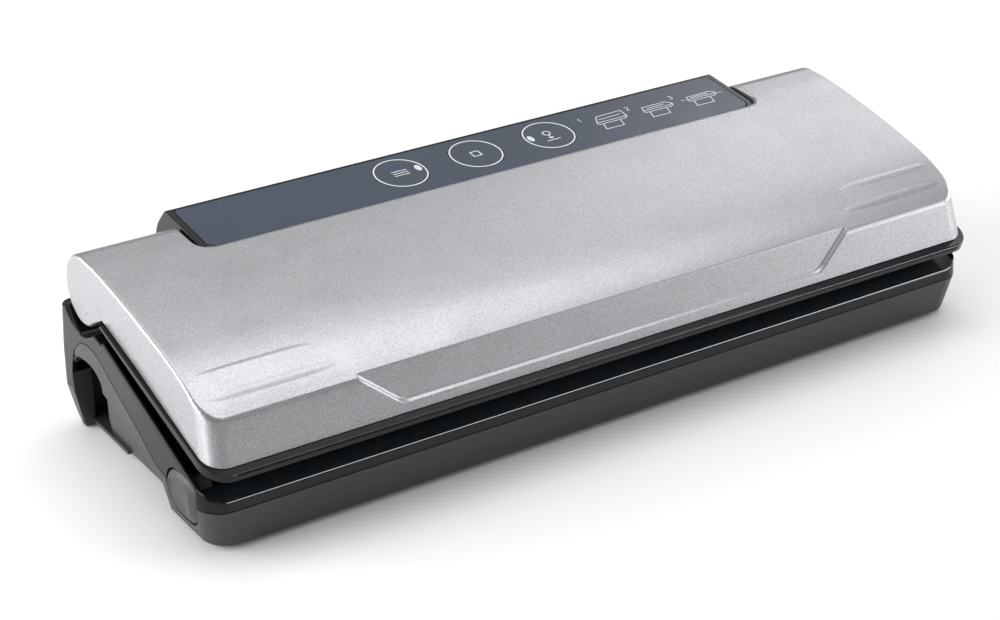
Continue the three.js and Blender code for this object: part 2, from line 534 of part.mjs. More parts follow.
// ---- release buttons and latches ----
const releaseButton = (side) => {
  const at = (x, margin) => ({ z: x, points: buttonOutline(margin) });
  const cap = loft([at(BUTTON_BACK, 0), at(188.6, 0), at(190.1, -0.5), at(190.9, -1.8)]);
  const dish = loft([at(190.2, -4.2), at(191.5, -2.9)]);
  const turn = new THREE.Matrix4().makeBasis(
    new THREE.Vector3(0, 1, 0), new THREE.Vector3(0, 0, 1), new THREE.Vector3(1, 0, 0));
  const right = solid(cap, turn).subtract(solid(dish, turn));
  if (side > 0) return geometryOf(right);
  const mirrored = geometryOf(right).scale(-1, 1, 1);
  const index = mirrored.index.array;
  for (let i = 0; i < index.length; i += 3) [index[i + 1], index[i + 2]] = [index[i + 2], index[i + 1]];
  return mirrored;
};

const latchPlate = (side) => {
  const lip = HOOK.x0 - HOOK.tooth - GAP;
  const plate = solid(box(side * 163, side * 181, 12, 28, -11, -9));
  return plate.subtract(solid(box(side * lip, side * (HOOK.x1 + LATCH_TRAVEL + 0.5), 14, 25.4, -20, 0)));
};

const SPRING = { x: 150.7, length: 11.2 }; // between its stop and the latch plate
class Coil extends THREE.Curve {
  constructor(radius, length, turns) {
    super();
    Object.assign(this, { radius, length, turns });
  }

  getPoint(t, target = new THREE.Vector3()) {
    const a = 2 * Math.PI * this.turns * t;
    return target.set(this.length * t, this.radius * Math.cos(a), this.radius * Math.sin(a));
  }
}

const sweep = (path, radius, sides, steps) => {
  const ring = Array.from({ length: sides }, (_, i) => {
    const a = (2 * Math.PI * i) / sides;
    return new THREE.Vector2(radius * Math.cos(a), radius * Math.sin(a));
  });
  return new THREE.ExtrudeGeometry(new THREE.Shape(ring), { steps, extrudePath: path, bevelEnabled: false });
};

const addReleases = () => {
  for (const [side, s] of SIDES) {
    add("release_button_" + side, releaseButton(s), DARK_GREY);
    add("latch_plate_" + side, geometryOf(latchPlate(s)), NYLON, DECK);
    const spring = sweep(new Coil(2.6, SPRING.length, 5), 0.45, 5, 50);
    spring.translate(s > 0 ? SPRING.x : -SPRING.x - SPRING.length, 22, 19.5);
    add("release_spring_" + side, spring, STEEL);
  }
};

// ---- inside the base ----
const pumpBracket = () => {
  const cradles = [32, 64].map((x) => box(x, x + 4, 85, 105, 6, 15));
  const bracket = joined(box(26, 114, 78, 112, 5, 6.8), ...cradles);
  return bracket.subtract(solid(rodX(MOTOR.r + GAP, 20, 80, MOTOR.y, MOTOR.z, 32)));
};

const pumpBody = () => joined(
  prismZ(plan(16, 79, 111, 5, 5), 7.1, 34).translate(PORT.x, 0, 0),
  prismZ(plan(12, 83, 107, 8, 8), 33, 44).translate(PORT.x, 0, 0),
  new THREE.CylinderGeometry(2.8, 2.8, 8, 16).translate(PORT.x, 76, 22));

const addPump = () => {
  add("pump_bracket", geometryOf(pumpBracket()), STEEL);
  add("pump_motor", geometryOf(joined(
    rodX(MOTOR.r, MOTOR.x0, MOTOR.x1 - 4, MOTOR.y, MOTOR.z, 32),
    rodX(MOTOR.r - 5, MOTOR.x1 - 5, MOTOR.x1, MOTOR.y, MOTOR.z, 24))), STEEL);
  const crank = joined(
    rodX(8, 72.4, 77, MOTOR.y, MOTOR.z, 28), rodX(1.8, 76, 79.4, MOTOR.y, MOTOR.z + 4.5, 14));
  add("pump_crank", geometryOf(crank), NYLON);
  add("pump_body", geometryOf(pumpBody()), NYLON);
  const start = new THREE.Vector3(PORT.x, PORT.u, -20.3).applyMatrix4(DECK);
  const slope = new THREE.Vector3(PORT.x, PORT.u, -24).applyMatrix4(DECK);
  const route = new THREE.CatmullRomCurve3([
    start, slope, new THREE.Vector3(PORT.x, 60.5, 13.6), new THREE.Vector3(PORT.x, 65.4, 20.4),
    new THREE.Vector3(PORT.x, 68.4, 22), new THREE.Vector3(PORT.x, 71.4, 22)]);
  add("vacuum_hose", sweep(route, 3.4, 10, 20), CLEAR_RUBBER);
};

const addTransformer = () => {
  const core = solid(box(-118, -66, 84, 110, 5, 43));
  const windows = solid(box(-105, -97, 80, 114, 12, 36)).add(solid(box(-87, -79, 80, 114, 12, 36)));
  add("transformer_core", geometryOf(core.subtract(windows)), STEEL);
  const coil = solid(box(-104.6, -79.4, 77, 117, 12.4, 35.6));
  const leg = solid(box(-97.3, -86.7, 83.7, 110.3, 0, 50));
  add("transformer_coil", geometryOf(coil.subtract(leg)), COPPER);
};

const addElectrics = () => {
  const lever = [box(161, 164, 21, 27, 12.5, 14.4), box(163, 176, 21, 27, 13.6, 14.4)];
  add("lid_switch", geometryOf(joined(box(160, 177, 19, 29, 5, 13), ...lever)), RUBBER);
  const inlet = solid(box(INLET.x0, INLET.x1, BACK_Y - INLET.depth, BACK_Y - 0.6, INLET.z0, INLET.z1));
  const middle = { x: (INLET.x0 + INLET.x1) / 2, z: (INLET.z0 + INLET.z1) / 2 };
  const socket = new THREE.CylinderGeometry(4.2, 4.2, 13, 20);
  const pair = [-4.3, 4.3].map((dx) => socket.clone().translate(middle.x + dx, BACK_Y - 6.5, middle.z));
  const bridge = box(middle.x - 4, middle.x + 4, BACK_Y - 13, BACK_Y, middle.z - 3, middle.z + 3);
  let hollow = inlet.subtract(joined(...pair, bridge));
  for (const dx of [-4.3, 4.3]) {
    const pin = new THREE.CylinderGeometry(1.2, 1.2, 11, 12);
    hollow = hollow.add(solid(pin.translate(middle.x + dx, BACK_Y - 8.5, middle.z)));
  }
  add("mains_inlet", geometryOf(hollow), RUBBER);
};

const addFeet = () => FOOT_SPOTS.forEach(([x, y], i) => {
  const foot = turned([[0, 0], [6.2, 0], [7, 0.8], [7, BODY_Z], [0, BODY_Z]]);
  add("foot_" + (i + 1), foot.translate(x, y, 0), CLEAR_RUBBER);
});

const addScrews = () => SCREW_SPOTS.forEach(([x, y], i) => {
  const head = isRear(y) ? 15.6 : 5.6;
  const tip = head + 16;
  const screw = turned([
    [0, head + 0.8], [1.2, head], [3, head], [3, head + 2], [1.4, head + 2], [1.4, tip - 2], [0, tip]], 10);
  add("case_screw_" + (i + 1), screw.translate(x, y, 0), STEEL);
});

add("lower_housing", geometryOf(lowerHousing()), DARK_GREY);
add("upper_housing", geometryOf(upperHousing()), GLOSS_BLACK);
addControls();
addLid();
addDeckFittings();
addReleases();
addPump();
addTransformer();
addElectrics();
addFeet();
addScrews();

export default group;
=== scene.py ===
import json
import math
from math import cos, pi, radians, sin

import bmesh
import bpy
from mathutils import Matrix, Vector


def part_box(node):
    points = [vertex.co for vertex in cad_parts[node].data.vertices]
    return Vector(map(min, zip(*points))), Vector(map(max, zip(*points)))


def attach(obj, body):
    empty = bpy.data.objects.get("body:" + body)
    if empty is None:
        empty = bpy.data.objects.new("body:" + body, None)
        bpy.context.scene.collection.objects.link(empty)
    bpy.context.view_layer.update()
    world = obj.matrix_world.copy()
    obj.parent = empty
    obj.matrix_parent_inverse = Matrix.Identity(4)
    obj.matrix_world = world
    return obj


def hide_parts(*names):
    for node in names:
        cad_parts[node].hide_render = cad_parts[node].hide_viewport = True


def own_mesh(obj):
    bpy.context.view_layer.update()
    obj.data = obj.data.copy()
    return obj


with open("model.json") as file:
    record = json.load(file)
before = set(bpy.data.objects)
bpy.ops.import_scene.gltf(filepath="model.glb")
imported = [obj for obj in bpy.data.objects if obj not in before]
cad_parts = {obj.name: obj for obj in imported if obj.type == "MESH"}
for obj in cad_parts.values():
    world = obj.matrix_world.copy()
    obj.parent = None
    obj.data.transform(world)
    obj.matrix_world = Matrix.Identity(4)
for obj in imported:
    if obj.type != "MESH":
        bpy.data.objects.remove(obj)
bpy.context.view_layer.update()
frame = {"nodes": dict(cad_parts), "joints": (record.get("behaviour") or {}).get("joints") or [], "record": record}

bl_info = {
    "name": "Vacuum sealer",
    "version": (1, 0, 0),
    "blender": (4, 5, 0),
    "location": "View3D > Sidebar > Sealer",
    "description": "Builds the finished surfaces of a vacuum sealer around its frame",
    "category": "Add Mesh",
}

JOINTS = {joint["name"]: joint for joint in frame["joints"]}

# Outlines are in millimetres: x to the right, y to the back, z up. HINGE is (y, z) in them.
MM = 0.001
HINGE = (104.0, JOINTS["lid_hinge"]["pos_m"][2] / MM)
DATUM_Y = JOINTS["lid_hinge"]["pos_m"][1] / MM - HINGE[0]  # the frame's y of the outlines' y = 0
FAR = 400.0  # longer than the object, for cutting tools
GAP = 0.3  # clearance round a piece that sits in a recess
WALL = 2.4

# ---- planes that pieces lie in: (y, z, tilt) ----
DECK = (0.0, 23.7, radians(19.7))
LID = (0.0, 35.5, radians(16.2))
TOP = (88.4, 80.2, radians(6.4))

# ---- sizes: x across, u up a plane's slope ----
BARREL = (105.2, 68.1)  # middle of the lid's rounded rear end
BARREL_R = 14.8
POD_X = 140.5
NOTCH_X = 142.7  # the lid's notch, that the pod stands in
NOTCH_R = 20.7
PIN_HOLE_R = 3.4
PANEL = {"x": 137.3, "front": 1.2, "rear": 33.8}
KEY_R = 12.0
KEY_PITCH = 38.0
KEY_V = 19.1
SEAL = {"x": 162.0, "u0": 31.0, "u1": 69.0, "corner": 7.0}
TROUGH = {"x": 157.0, "u0": 36.0, "u1": 64.0, "depth": 10.5}
BAR = {"x": 155.0, "u0": 12.8, "u1": 20.2}
HOOK = {"x0": 171.5, "x1": 174.5, "u0": 18.0, "u1": 24.0}
HOOK_SLOT = {"x0": 168.5, "x1": 175.5, "u0": 13.4, "u1": 24.6}
NOZZLE = (96, 50)
SIDES = {"left": -1, "right": 1}


# ---- outlines ----
def arc(r, start, stop, centre, steps=40):
    """Points along an arc, with angles in degrees."""
    angles = (radians(start + (stop - start) * i / steps) for i in range(steps + 1))
    return [(centre[0] + r * cos(a), centre[1] + r * sin(a)) for a in angles]


def flowing(points, steps=5):
    """A smooth line through all the points."""
    ends = [points[0], *points, points[-1]]
    line = []
    for a, b, c, d in zip(ends, ends[1:], ends[2:], ends[3:]):
        for i in range(steps):
            t = i / steps
            line.append(tuple(
                0.5 * (
                    2 * q + (r - p) * t + (2 * p - 5 * q + 4 * r - s) * t**2 + (3 * q - p - 3 * r + s) * t**3)
                for p, q, r, s in zip(a, b, c, d)))
    return [*line, points[-1]]


def plan(half_x, y0, y1, front, rear, steps=16):
    """A rectangle seen from above, with its own corner radius at the front and at the back."""
    def corner(cx, cy, r, start):
        return arc(r, start, start + 90, (cx, cy), steps)
    return [
        *corner(half_x - rear, y1 - rear, rear, 0), *corner(-half_x + rear, y1 - rear, rear, 90),
        *corner(-half_x + front, y0 + front, front, 180), *corner(half_x - front, y0 + front, front, 270)]


def deck_at(y, drop=0.0):
    """Height of the sloping deck at a distance from the front."""
    return DECK[1] - drop + y * math.tan(DECK[2])


# ---- solids: temporary objects in millimetres ----
def thing(bm, name="tool"):
    """A new object from a mesh that is still being worked on."""
    bmesh.ops.recalc_face_normals(bm, faces=bm.faces)
    mesh = bpy.data.meshes.new(name)
    bm.to_mesh(mesh)
    bm.free()
    obj = bpy.data.objects.new(name, mesh)
    bpy.context.scene.collection.objects.link(obj)
    return obj


def loft(rings, closed=False):
    """A skin over rings that all have the same number of 3-D points."""
    bm = bmesh.new()
    rows = [[bm.verts.new(p) for p in ring] for ring in rings]
    n = len(rows[0])
    pairs = list(zip(rows, rows[1:])) + ([(rows[-1], rows[0])] if closed else [])
    for low, high in pairs:
        for i in range(n):
            bm.faces.new((low[i], low[(i + 1) % n], high[(i + 1) % n], high[i]))
    if not closed:
        bm.faces.new(rows[0][::-1])
        bm.faces.new(rows[-1])
    return thing(bm)


def prism(axis, outline, low, high):
    """An outline drawn out along an axis: (y, z) along X, (x, z) along Y, or (x, y) along Z."""
    place = {
        "X": lambda a, b, t: (t, a, b),
        "Y": lambda a, b, t: (a, t, b),
        "Z": lambda a, b, t: (a, b, t)}[axis]
    return loft([[place(a, b, t) for a, b in outline] for t in sorted((low, high))])


def box(x0, x1, y0, y1, z0, z1):
    x0, x1 = sorted((x0, x1))
    return prism("Z", [(x0, y0), (x1, y0), (x1, y1), (x0, y1)], z0, z1)


def rod(axis, r, low, high, centre, sides=64):
    """A round bar along an axis."""
    return prism(axis, arc(r, 0, 360, centre, sides)[:-1], low, high)


def turned(profile, sides=48):
    """A turned piece about Z: profile points are (radius, height), from one end on the axis to the other."""
    rings = [
        [(r * cos(2 * pi * i / sides), r * sin(2 * pi * i / sides), z) for i in range(sides)]
        for r, z in profile[1:-1]]
    return loft(rings)


def band(section, half_x, u0, u1, corner):
    """A closed moulding round a rounded rectangle: section points are (outwards, up)."""
    return loft([
        [(x, y, up) for x, y in plan(half_x + out, u0 - out, u1 + out, corner + out, corner + out, 10)]
        for out, up in section], closed=True)


def moved(obj, matrix):
    """The piece with its mesh moved, turned or mirrored."""
    obj.data.transform(matrix)
    if matrix.determinant() < 0:
        obj.data.flip_normals()
    return obj


def tilted(obj, plane):
    """Moves a piece from a plane's own frame (x, up the slope, out of it) to where the plane lies."""
    y, z, angle = plane
    return moved(obj, Matrix.Translation((0, y, z)) @ Matrix.Rotation(angle, 4, "X"))


def together(*objs):
    """One object from several that don't meet."""
    bm = bmesh.new()
    for obj in objs:
        bm.from_mesh(obj.data)
        bpy.data.objects.remove(obj)
    return thing(bm)


def both(obj):
    """The piece and its mirror image on the other side."""
    twin = bpy.data.objects.new("twin", obj.data.copy())
    bpy.context.scene.collection.objects.link(twin)
    moved(twin, Matrix.Diagonal((-1, 1, 1, 1)))
    return together(obj, twin)


def baked(obj):
    """The object with its modifiers applied."""
    graph = bpy.context.evaluated_depsgraph_get()
    mesh = bpy.data.meshes.new_from_object(obj.evaluated_get(graph))
    obj.modifiers.clear()
    obj.data = mesh
    return obj


def carved(obj, *tools, operation="DIFFERENCE"):
    """The piece with each tool cut out of it, which uses the tools up."""
    for tool in tools:
        modifier = obj.modifiers.new("carve", "BOOLEAN")
        modifier.operation = operation
        modifier.solver = "EXACT"
        modifier.object = tool
        baked(obj)
        bpy.data.objects.remove(tool)
    return obj


def added(obj, *tools):
    """The piece joined to each tool."""
    return carved(obj, *tools, operation="UNION")


def kept(obj, *tools):
    """What the piece and the tools have in common."""
    return carved(obj, *tools, operation="INTERSECT")


def eased(obj, radius, where=lambda p: True, angle=28, segments=3, hollows=False):
    """Rounds the sharp outer edges, and inner ones if hollows is set, whose middle point passes a test."""
    bm = bmesh.new()
    bm.from_mesh(obj.data)
    bmesh.ops.remove_doubles(bm, verts=bm.verts, dist=0.002)
    bmesh.ops.dissolve_limit(bm, angle_limit=radians(0.4), verts=bm.verts, edges=bm.edges)
    sharp = [
        e for e in bm.edges
        if len(e.link_faces) == 2 and e.calc_face_angle(0) > radians(angle) and (hollows or e.is_convex)
        and where((e.verts[0].co + e.verts[1].co) / 2)]
    bmesh.ops.bevel(
        bm, geom=sharp, offset=radius, offset_type="OFFSET", segments=segments, profile=0.5,
        affect="EDGES", clamp_overlap=False, miter_outer="ARC")
    bm.to_mesh(obj.data)
    bm.free()
    return obj


def in_plane(plane, limit=0.15):
    """A test for points that lie in a tilted plane."""
    y, z, angle = plane
    return lambda p: abs((p.z - z) * cos(angle) - (p.y - y) * sin(angle)) < limit


# ---- finished pieces ----
GLOSSY = "glossy"  # the pieces that the strip light falls on


def shown(obj, name, body, slot, nodes=(), smooth=32):
    """Names a piece, sets it in the frame, and says what it rides on and stands for."""
    obj.name = obj.data.name = name
    moved(obj, Matrix.Scale(MM, 4) @ Matrix.Translation((0, DATUM_Y, 0)))
    bm = bmesh.new()
    bm.from_mesh(obj.data)
    bmesh.ops.remove_doubles(bm, verts=bm.verts, dist=2e-6)
    bm.to_mesh(obj.data)
    bm.free()
    obj.data.shade_smooth()
    obj.data.set_sharp_from_angle(angle=radians(smooth))
    weighted = obj.modifiers.new("flat faces stay flat", "WEIGHTED_NORMAL")
    weighted.keep_sharp = True
    obj.data.materials.clear()
    obj.data.materials.append(material(slot))
    if slot == "gloss_black":
        bpy.data.collections[GLOSSY].objects.link(obj)
    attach(obj, body)
    if nodes:
        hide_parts(*nodes)
    return obj


def softened(node, radius):
    """A finer copy of a frame node, in millimetres, with its edges rounded."""
    obj = bpy.data.objects.new(node + "_fine", frame["nodes"][node].data.copy())
    bpy.context.scene.collection.objects.link(obj)
    moved(obj, Matrix.Translation((0, -DATUM_Y, 0)) @ Matrix.Scale(1 / MM, 4))
    return eased(obj, radius, angle=35, segments=2)


# ---- materials ----
class Shader:
    """A small helper that adds nodes and links them to the surface."""

    def __init__(self, name):
        self.material = bpy.data.materials.new(name)
        self.material.use_nodes = True
        self.nodes = self.material.node_tree.nodes
        self.links = self.material.node_tree.links
        self.surface = self.nodes["Principled BSDF"]
        self.coords = self.nodes.new("ShaderNodeTexCoord").outputs["Object"]

    def put(self, **values):
        """Sets the surface's own values, with _ for a space in a socket's name."""
        for key, value in values.items():
            self.surface.inputs[key.replace("_", " ")].default_value = value
        return self

    def noise(self, scale, detail=3.0, rough=0.55, stretch=None):
        node = self.nodes.new("ShaderNodeTexNoise")
        node.inputs["Scale"].default_value = scale
        node.inputs["Detail"].default_value = detail
        node.inputs["Roughness"].default_value = rough
        source = self.coords
        if stretch:
            mapping = self.nodes.new("ShaderNodeMapping")
            mapping.inputs["Scale"].default_value = stretch
            self.links.new(source, mapping.inputs["Vector"])
            source = mapping.outputs["Vector"]
        self.links.new(source, node.inputs["Vector"])
        return node.outputs["Fac"]

    def ramp(self, source, stops):
        """Colours for a value, from (place, colour) stops."""
        node = self.nodes.new("ShaderNodeValToRGB")
        for i, (place, color) in enumerate(stops):
            stop = node.color_ramp.elements[i] if i < 2 else node.color_ramp.elements.new(place)
            stop.position = place
            stop.color = (*color, 1.0)
        self.links.new(source, node.inputs["Fac"])
        return node.outputs["Color"]

    def span(self, source, low, high):
        """A value that follows the middle part of a noise, from low to high."""
        node = self.nodes.new("ShaderNodeMapRange")
        for key, value in {"From Min": 0.3, "From Max": 0.7, "To Min": low, "To Max": high}.items():
            node.inputs[key].default_value = value
        self.links.new(source, node.inputs["Value"])
        return node.outputs["Result"]

    def color(self, source):
        self.links.new(source, self.surface.inputs["Base Color"])
        return self

    def roughness(self, source):
        self.links.new(source, self.surface.inputs["Roughness"])
        return self

    def bump(self, source, strength, distance):
        node = self.nodes.new("ShaderNodeBump")
        node.inputs["Strength"].default_value = strength
        node.inputs["Distance"].default_value = distance
        self.links.new(source, node.inputs["Height"])
        previous = self.surface.inputs["Normal"].links
        if previous:
            self.links.new(previous[0].from_socket, node.inputs["Normal"])
        self.links.new(node.outputs["Normal"], self.surface.inputs["Normal"])
        return self


def tone(color, factor):
    """A colour made darker or brighter."""
    return tuple(min(1.0, c * factor) for c in color)


def speckled(shader, base, amount, scale, detail=2.0):
    """Fine colour variation on either side of a base colour."""
    grain = shader.noise(scale, detail, 0.7)
    shader.color(shader.ramp(grain, [(0.3, tone(base, 1 - amount)), (0.7, tone(base, 1 + amount))]))
    return grain


def silver_paint():
    """Metallic paint with a fine flake."""
    look = bpy.context.scene.sealer_finish
    shader = Shader("silver_paint").put(Metallic=0.8, Specular_IOR_Level=0.5)
    flake = shader.noise(3000.0, 1.0, 0.6)
    shader.color(shader.ramp(flake, [(0.34, tone(look.silver, 0.71)), (0.66, tone(look.silver, 1.33))]))
    rough = look.silver_roughness
    shader.roughness(shader.span(shader.noise(60.0), rough - 0.03, rough + 0.03))
    return shader.bump(flake, 0.14, 0.00004).material


def gloss_plastic():
    look = bpy.context.scene.sealer_finish
    shader = Shader("gloss_black_plastic").put(Specular_IOR_Level=0.24)
    speckled(shader, tuple(look.black), 0.25, 300.0)
    rough = look.black_roughness
    shader.roughness(shader.span(shader.noise(45.0, 4.0), rough - 0.02, rough + 0.03))
    return shader.bump(shader.noise(160.0, 2.0), 0.03, 0.00005).material


def satin_plastic():
    look = bpy.context.scene.sealer_finish
    shader = Shader("satin_grey_plastic")
    speckled(shader, tuple(look.grey), 0.18, 900.0)
    shader.roughness(shader.span(shader.noise(50.0, 4.0), 0.34, 0.42))
    return shader.bump(shader.noise(2400.0, 2.0), 0.10, 0.00008).material


def slate_film():
    look = bpy.context.scene.sealer_finish
    shader = Shader("slate_film").put(Specular_IOR_Level=0.5)
    grain = speckled(shader, tuple(look.slate), 0.22, 1500.0, 1.5)
    shader.roughness(shader.span(shader.noise(70.0), 0.26, 0.33))
    return shader.bump(grain, 0.06, 0.00005).material


def plain(name, base, rough, bump_scale=800.0, bump=0.08, metallic=0.0, amount=0.12):
    """A moulded, cast or drawn material with a fine grain."""
    shader = Shader(name).put(Metallic=metallic)
    grain = speckled(shader, base, amount, bump_scale / 2)
    shader.roughness(shader.span(shader.noise(80.0, 4.0), rough - 0.05, rough + 0.05))
    return shader.bump(grain, bump, 0.0001).material


def brushed(name, base, rough):
    """Metal with fine lines along X."""
    shader = Shader(name).put(Metallic=1.0)
    lines = shader.noise(900.0, 3.0, 0.6, stretch=(0.05, 1.0, 1.0))
    shader.color(shader.ramp(lines, [(0.3, tone(base, 0.85)), (0.7, tone(base, 1.1))]))
    shader.roughness(shader.span(lines, rough - 0.06, rough + 0.08))
    return shader.bump(lines, 0.08, 0.00005).material


def foam():
    shader = Shader("gasket_foam")
    cells = shader.noise(2600.0, 2.0, 0.8)
    shader.color(shader.ramp(cells, [(0.35, (0.008, 0.008, 0.009)), (0.7, (0.03, 0.03, 0.032))]))
    shader.roughness(shader.span(shader.noise(90.0), 0.82, 0.95))
    return shader.bump(cells, 0.5, 0.0002).material


def woven_tape():
    """Coated glass cloth: a fine plain weave under a tan coat."""
    shader = Shader("coated_cloth_tape")
    weave = []
    for direction in ("X", "Y"):
        node = shader.nodes.new("ShaderNodeTexWave")
        node.bands_direction = direction
        node.inputs["Scale"].default_value = 500.0
        node.inputs["Distortion"].default_value = 0.6
        shader.links.new(shader.coords, node.inputs["Vector"])
        weave.append(node.outputs["Fac"])
    cross = shader.nodes.new("ShaderNodeMath")
    cross.operation = "MULTIPLY"
    shader.links.new(weave[0], cross.inputs[0])
    shader.links.new(weave[1], cross.inputs[1])
    shader.color(shader.ramp(cross.outputs[0], [(0.0, (0.24, 0.14, 0.06)), (0.8, (0.40, 0.26, 0.13))]))
    shader.roughness(shader.span(shader.noise(70.0), 0.3, 0.42))
    return shader.bump(cross.outputs[0], 0.3, 0.0001).material


def clear_rubber():
    shader = Shader("translucent_rubber").put(Subsurface_Weight=0.3, Subsurface_Scale=0.003)
    speckled(shader, (0.66, 0.66, 0.62), 0.06, 200.0)
    shader.roughness(shader.span(shader.noise(80.0), 0.42, 0.55))
    return shader.bump(shader.noise(900.0), 0.1, 0.0001).material


def circuit_board():
    shader = Shader("circuit_board")
    tracks = shader.nodes.new("ShaderNodeTexVoronoi")
    tracks.distance = "MANHATTAN"
    tracks.inputs["Scale"].default_value = 300.0
    shader.links.new(shader.coords, tracks.inputs["Vector"])
    distance = tracks.outputs["Distance"]
    shader.color(shader.ramp(distance, [(0.25, (0.012, 0.10, 0.035)), (0.45, (0.02, 0.16, 0.06))]))
    shader.roughness(shader.span(distance, 0.3, 0.5))
    return shader.bump(distance, 0.2, 0.0001).material


def lens_plastic():
    shader = Shader("indicator_lens").put(Specular_IOR_Level=0.6)
    speckled(shader, (0.72, 0.76, 0.8), 0.05, 400.0)
    shader.roughness(shader.span(shader.noise(200.0), 0.15, 0.25))
    return shader.bump(shader.noise(500.0), 0.05, 0.0001).material


def white_ink():
    shader = Shader("white_ink")
    speckled(shader, (0.80, 0.82, 0.84), 0.04, 1200.0)
    shader.roughness(shader.span(shader.noise(300.0), 0.45, 0.6))
    return shader.bump(shader.noise(2000.0), 0.05, 0.00005).material


FINISHES = {  # what each slot is made of
    "silver_cover": silver_paint,
    "gloss_black": gloss_plastic,
    "dark_grey": satin_plastic,
    "slate_panel": slate_film,
    "black_nylon": lambda: plain("black_nylon", (0.02, 0.02, 0.021), 0.5, bump=0.15),
    "silicone": lambda: plain("black_silicone", (0.015, 0.015, 0.016), 0.55, 500.0),
    "gasket_foam": foam,
    "steel": lambda: brushed("bright_steel", (0.52, 0.53, 0.54), 0.3),
    "heater_metal": lambda: brushed("resistance_strip", (0.36, 0.34, 0.31), 0.4),
    "ptfe_tape": woven_tape,
    "board": circuit_board,
    "copper": lambda: plain("enamelled_copper", (0.5, 0.17, 0.07), 0.35, 300.0, metallic=1.0),
    "nylon": lambda: plain("natural_nylon", (0.66, 0.65, 0.6), 0.45),
    "lens": lens_plastic,
    "soft_rubber": clear_rubber,
    "ink": white_ink,
}
MADE = {}


def material(slot):
    """The material of a slot, made when it's first asked for."""
    if slot not in MADE:
        MADE[slot] = FINISHES[slot]()
    return MADE[slot]


# ---- the base: one drafted block, split along the parting line ----
BASE_LEVELS = [  # height, half width, front, rear
    (2.0, 186.0, 0.0, 123.0), (7.0, 187.0, -0.8, 125.4), (18.7, 189.4, -2.5, 127.0),
    (23.4, 189.5, -1.8, 127.0), (36.0, 189.5, -1.8, 126.8), (70.0, 189.5, -1.8, 122.6)]
BACK_LEVELS = [(2.0, 133.0), (8.0, 134.4), (22.0, 135.5), (71.0, 135.5)]  # height, rear


def block(inset):
    """The base before anything is cut from it, shrunk by an inset."""
    base = loft([
        [(x, y, z) for x, y in plan(half - inset, front + inset, rear - inset, 11 - inset, 5 - inset / 2)]
        for z, half, front, rear in BASE_LEVELS])
    back = loft([
        [(x, y, z) for x, y in plan(POD_X - inset, 110, rear - inset, 3, 7 - inset)]
        for z, rear in BACK_LEVELS])
    return added(base, back)


SEAM_Z = 18.7
SEAM_GAP = 0.15  # how far each shell stands back from the parting line
SEAM = [
    (34.4, 20.4), (39, 21.3), (44.2, 23.7), (50.4, 27.2), (58, 31.4), (70.7, 37.3), (78.5, 41.1),
    (86.4, 45.5), (91, 47), (97, 47.6), (102.6, 46.5), (107, 44.2), (111, 40), (114.2, 34.5),
    (116.2, 26.5), (117, 20.2)]
RAIL_X = 187.2
RAIL_RISE = 1.6
CRADLE_R = 17.8
SHOULDER_X = 141.0  # where the pod's shelf ends and the cradles begin
SHELF_Z = 54.6  # the shelf that the pod stands on


def seam_line(shift):
    """Parting line: level at the front, up over the side arch, down again at the rear leg."""
    return [
        (-20, SEAM_Z + shift), (20, SEAM_Z + shift), *((y, z + shift) for y, z in flowing(SEAM, 4)),
        (150, 20.4 + shift)]


def cradle_line(drop):
    """The hollow that the lid's rear end turns in, and the rear wall's top."""
    return [
        (87.5, deck_at(84, drop)), *arc(CRADLE_R + drop, 228, 322, HINGE),
        (121, 57 - drop), (150, 55.2 - drop)]


def side_line(drop):
    """Top of the base at its sides, lowered by a drop."""
    return [(-20, deck_at(-20, drop)), (84, deck_at(84, drop)), *cradle_line(drop)]


def rail_line():
    """The same, with the low rail at the deck's outer edge."""
    end = 83.6
    return [
        (-20, deck_at(-20) + RAIL_RISE), (end, deck_at(end) + RAIL_RISE), (end + 0.5, deck_at(84)),
        *cradle_line(0)]


def middle_line(drop):
    """Top of the base between its sides: the deck, then the pod's shelf."""
    return [(-20, deck_at(-20, drop)), (86.1, SHELF_Z - drop), (150, SHELF_Z - drop)]


def above(line):
    """Everything above a line in y and z."""
    return [*line, (150, 120), (-20, 120)]


def below(line):
    """Everything below a line in y and z."""
    return [*line, (150, -20), (-20, -20)]


BUTTON = {"y": 19.8, "z": 17.4, "half_y": 12.0, "half_z": 10.8, "lean": -0.26, "back": 181.4}
BUTTON_DRAFT = 0.19  # how the base's side leans in below the parting line


def button_outline(margin, steps=72):
    """Oval of a release button in y and z, grown by a margin."""
    squareness = 0.64
    points = []
    for i in range(steps):
        a = 2 * pi * i / steps
        c = math.copysign(abs(cos(a)) ** squareness, cos(a))
        s = math.copysign(abs(sin(a)) ** squareness, sin(a))
        z = (BUTTON["half_z"] + margin) * s
        points.append((BUTTON["y"] + (BUTTON["half_y"] + margin) * c + BUTTON["lean"] * z, BUTTON["z"] + z))
    return points


def button_hole():
    """The openings in the base's ends that the buttons slide in."""
    return both(prism("X", button_outline(0.7), BUTTON["back"] - 3.5, FAR))


def topped(body, drop):
    """Cuts the sloping deck, the cradles and the pod's shelf into the block."""
    middle = prism("X", above(middle_line(drop)), -SHOULDER_X, SHOULDER_X)
    if drop:
        return carved(body, both(prism("X", above(side_line(drop)), SHOULDER_X, FAR)), middle)
    return carved(
        body, both(prism("X", above(side_line(0)), SHOULDER_X, RAIL_X)),
        both(prism("X", above(rail_line()), RAIL_X, FAR)), middle)


def surround(place, low, high, margin=WALL, shift=0.0):
    """A block round the trough or the heater bar, in its plane's own frame."""
    x = place["x"] + margin
    return box(-x, x, place["u0"] - margin + shift, place["u1"] + margin + shift, low, high)


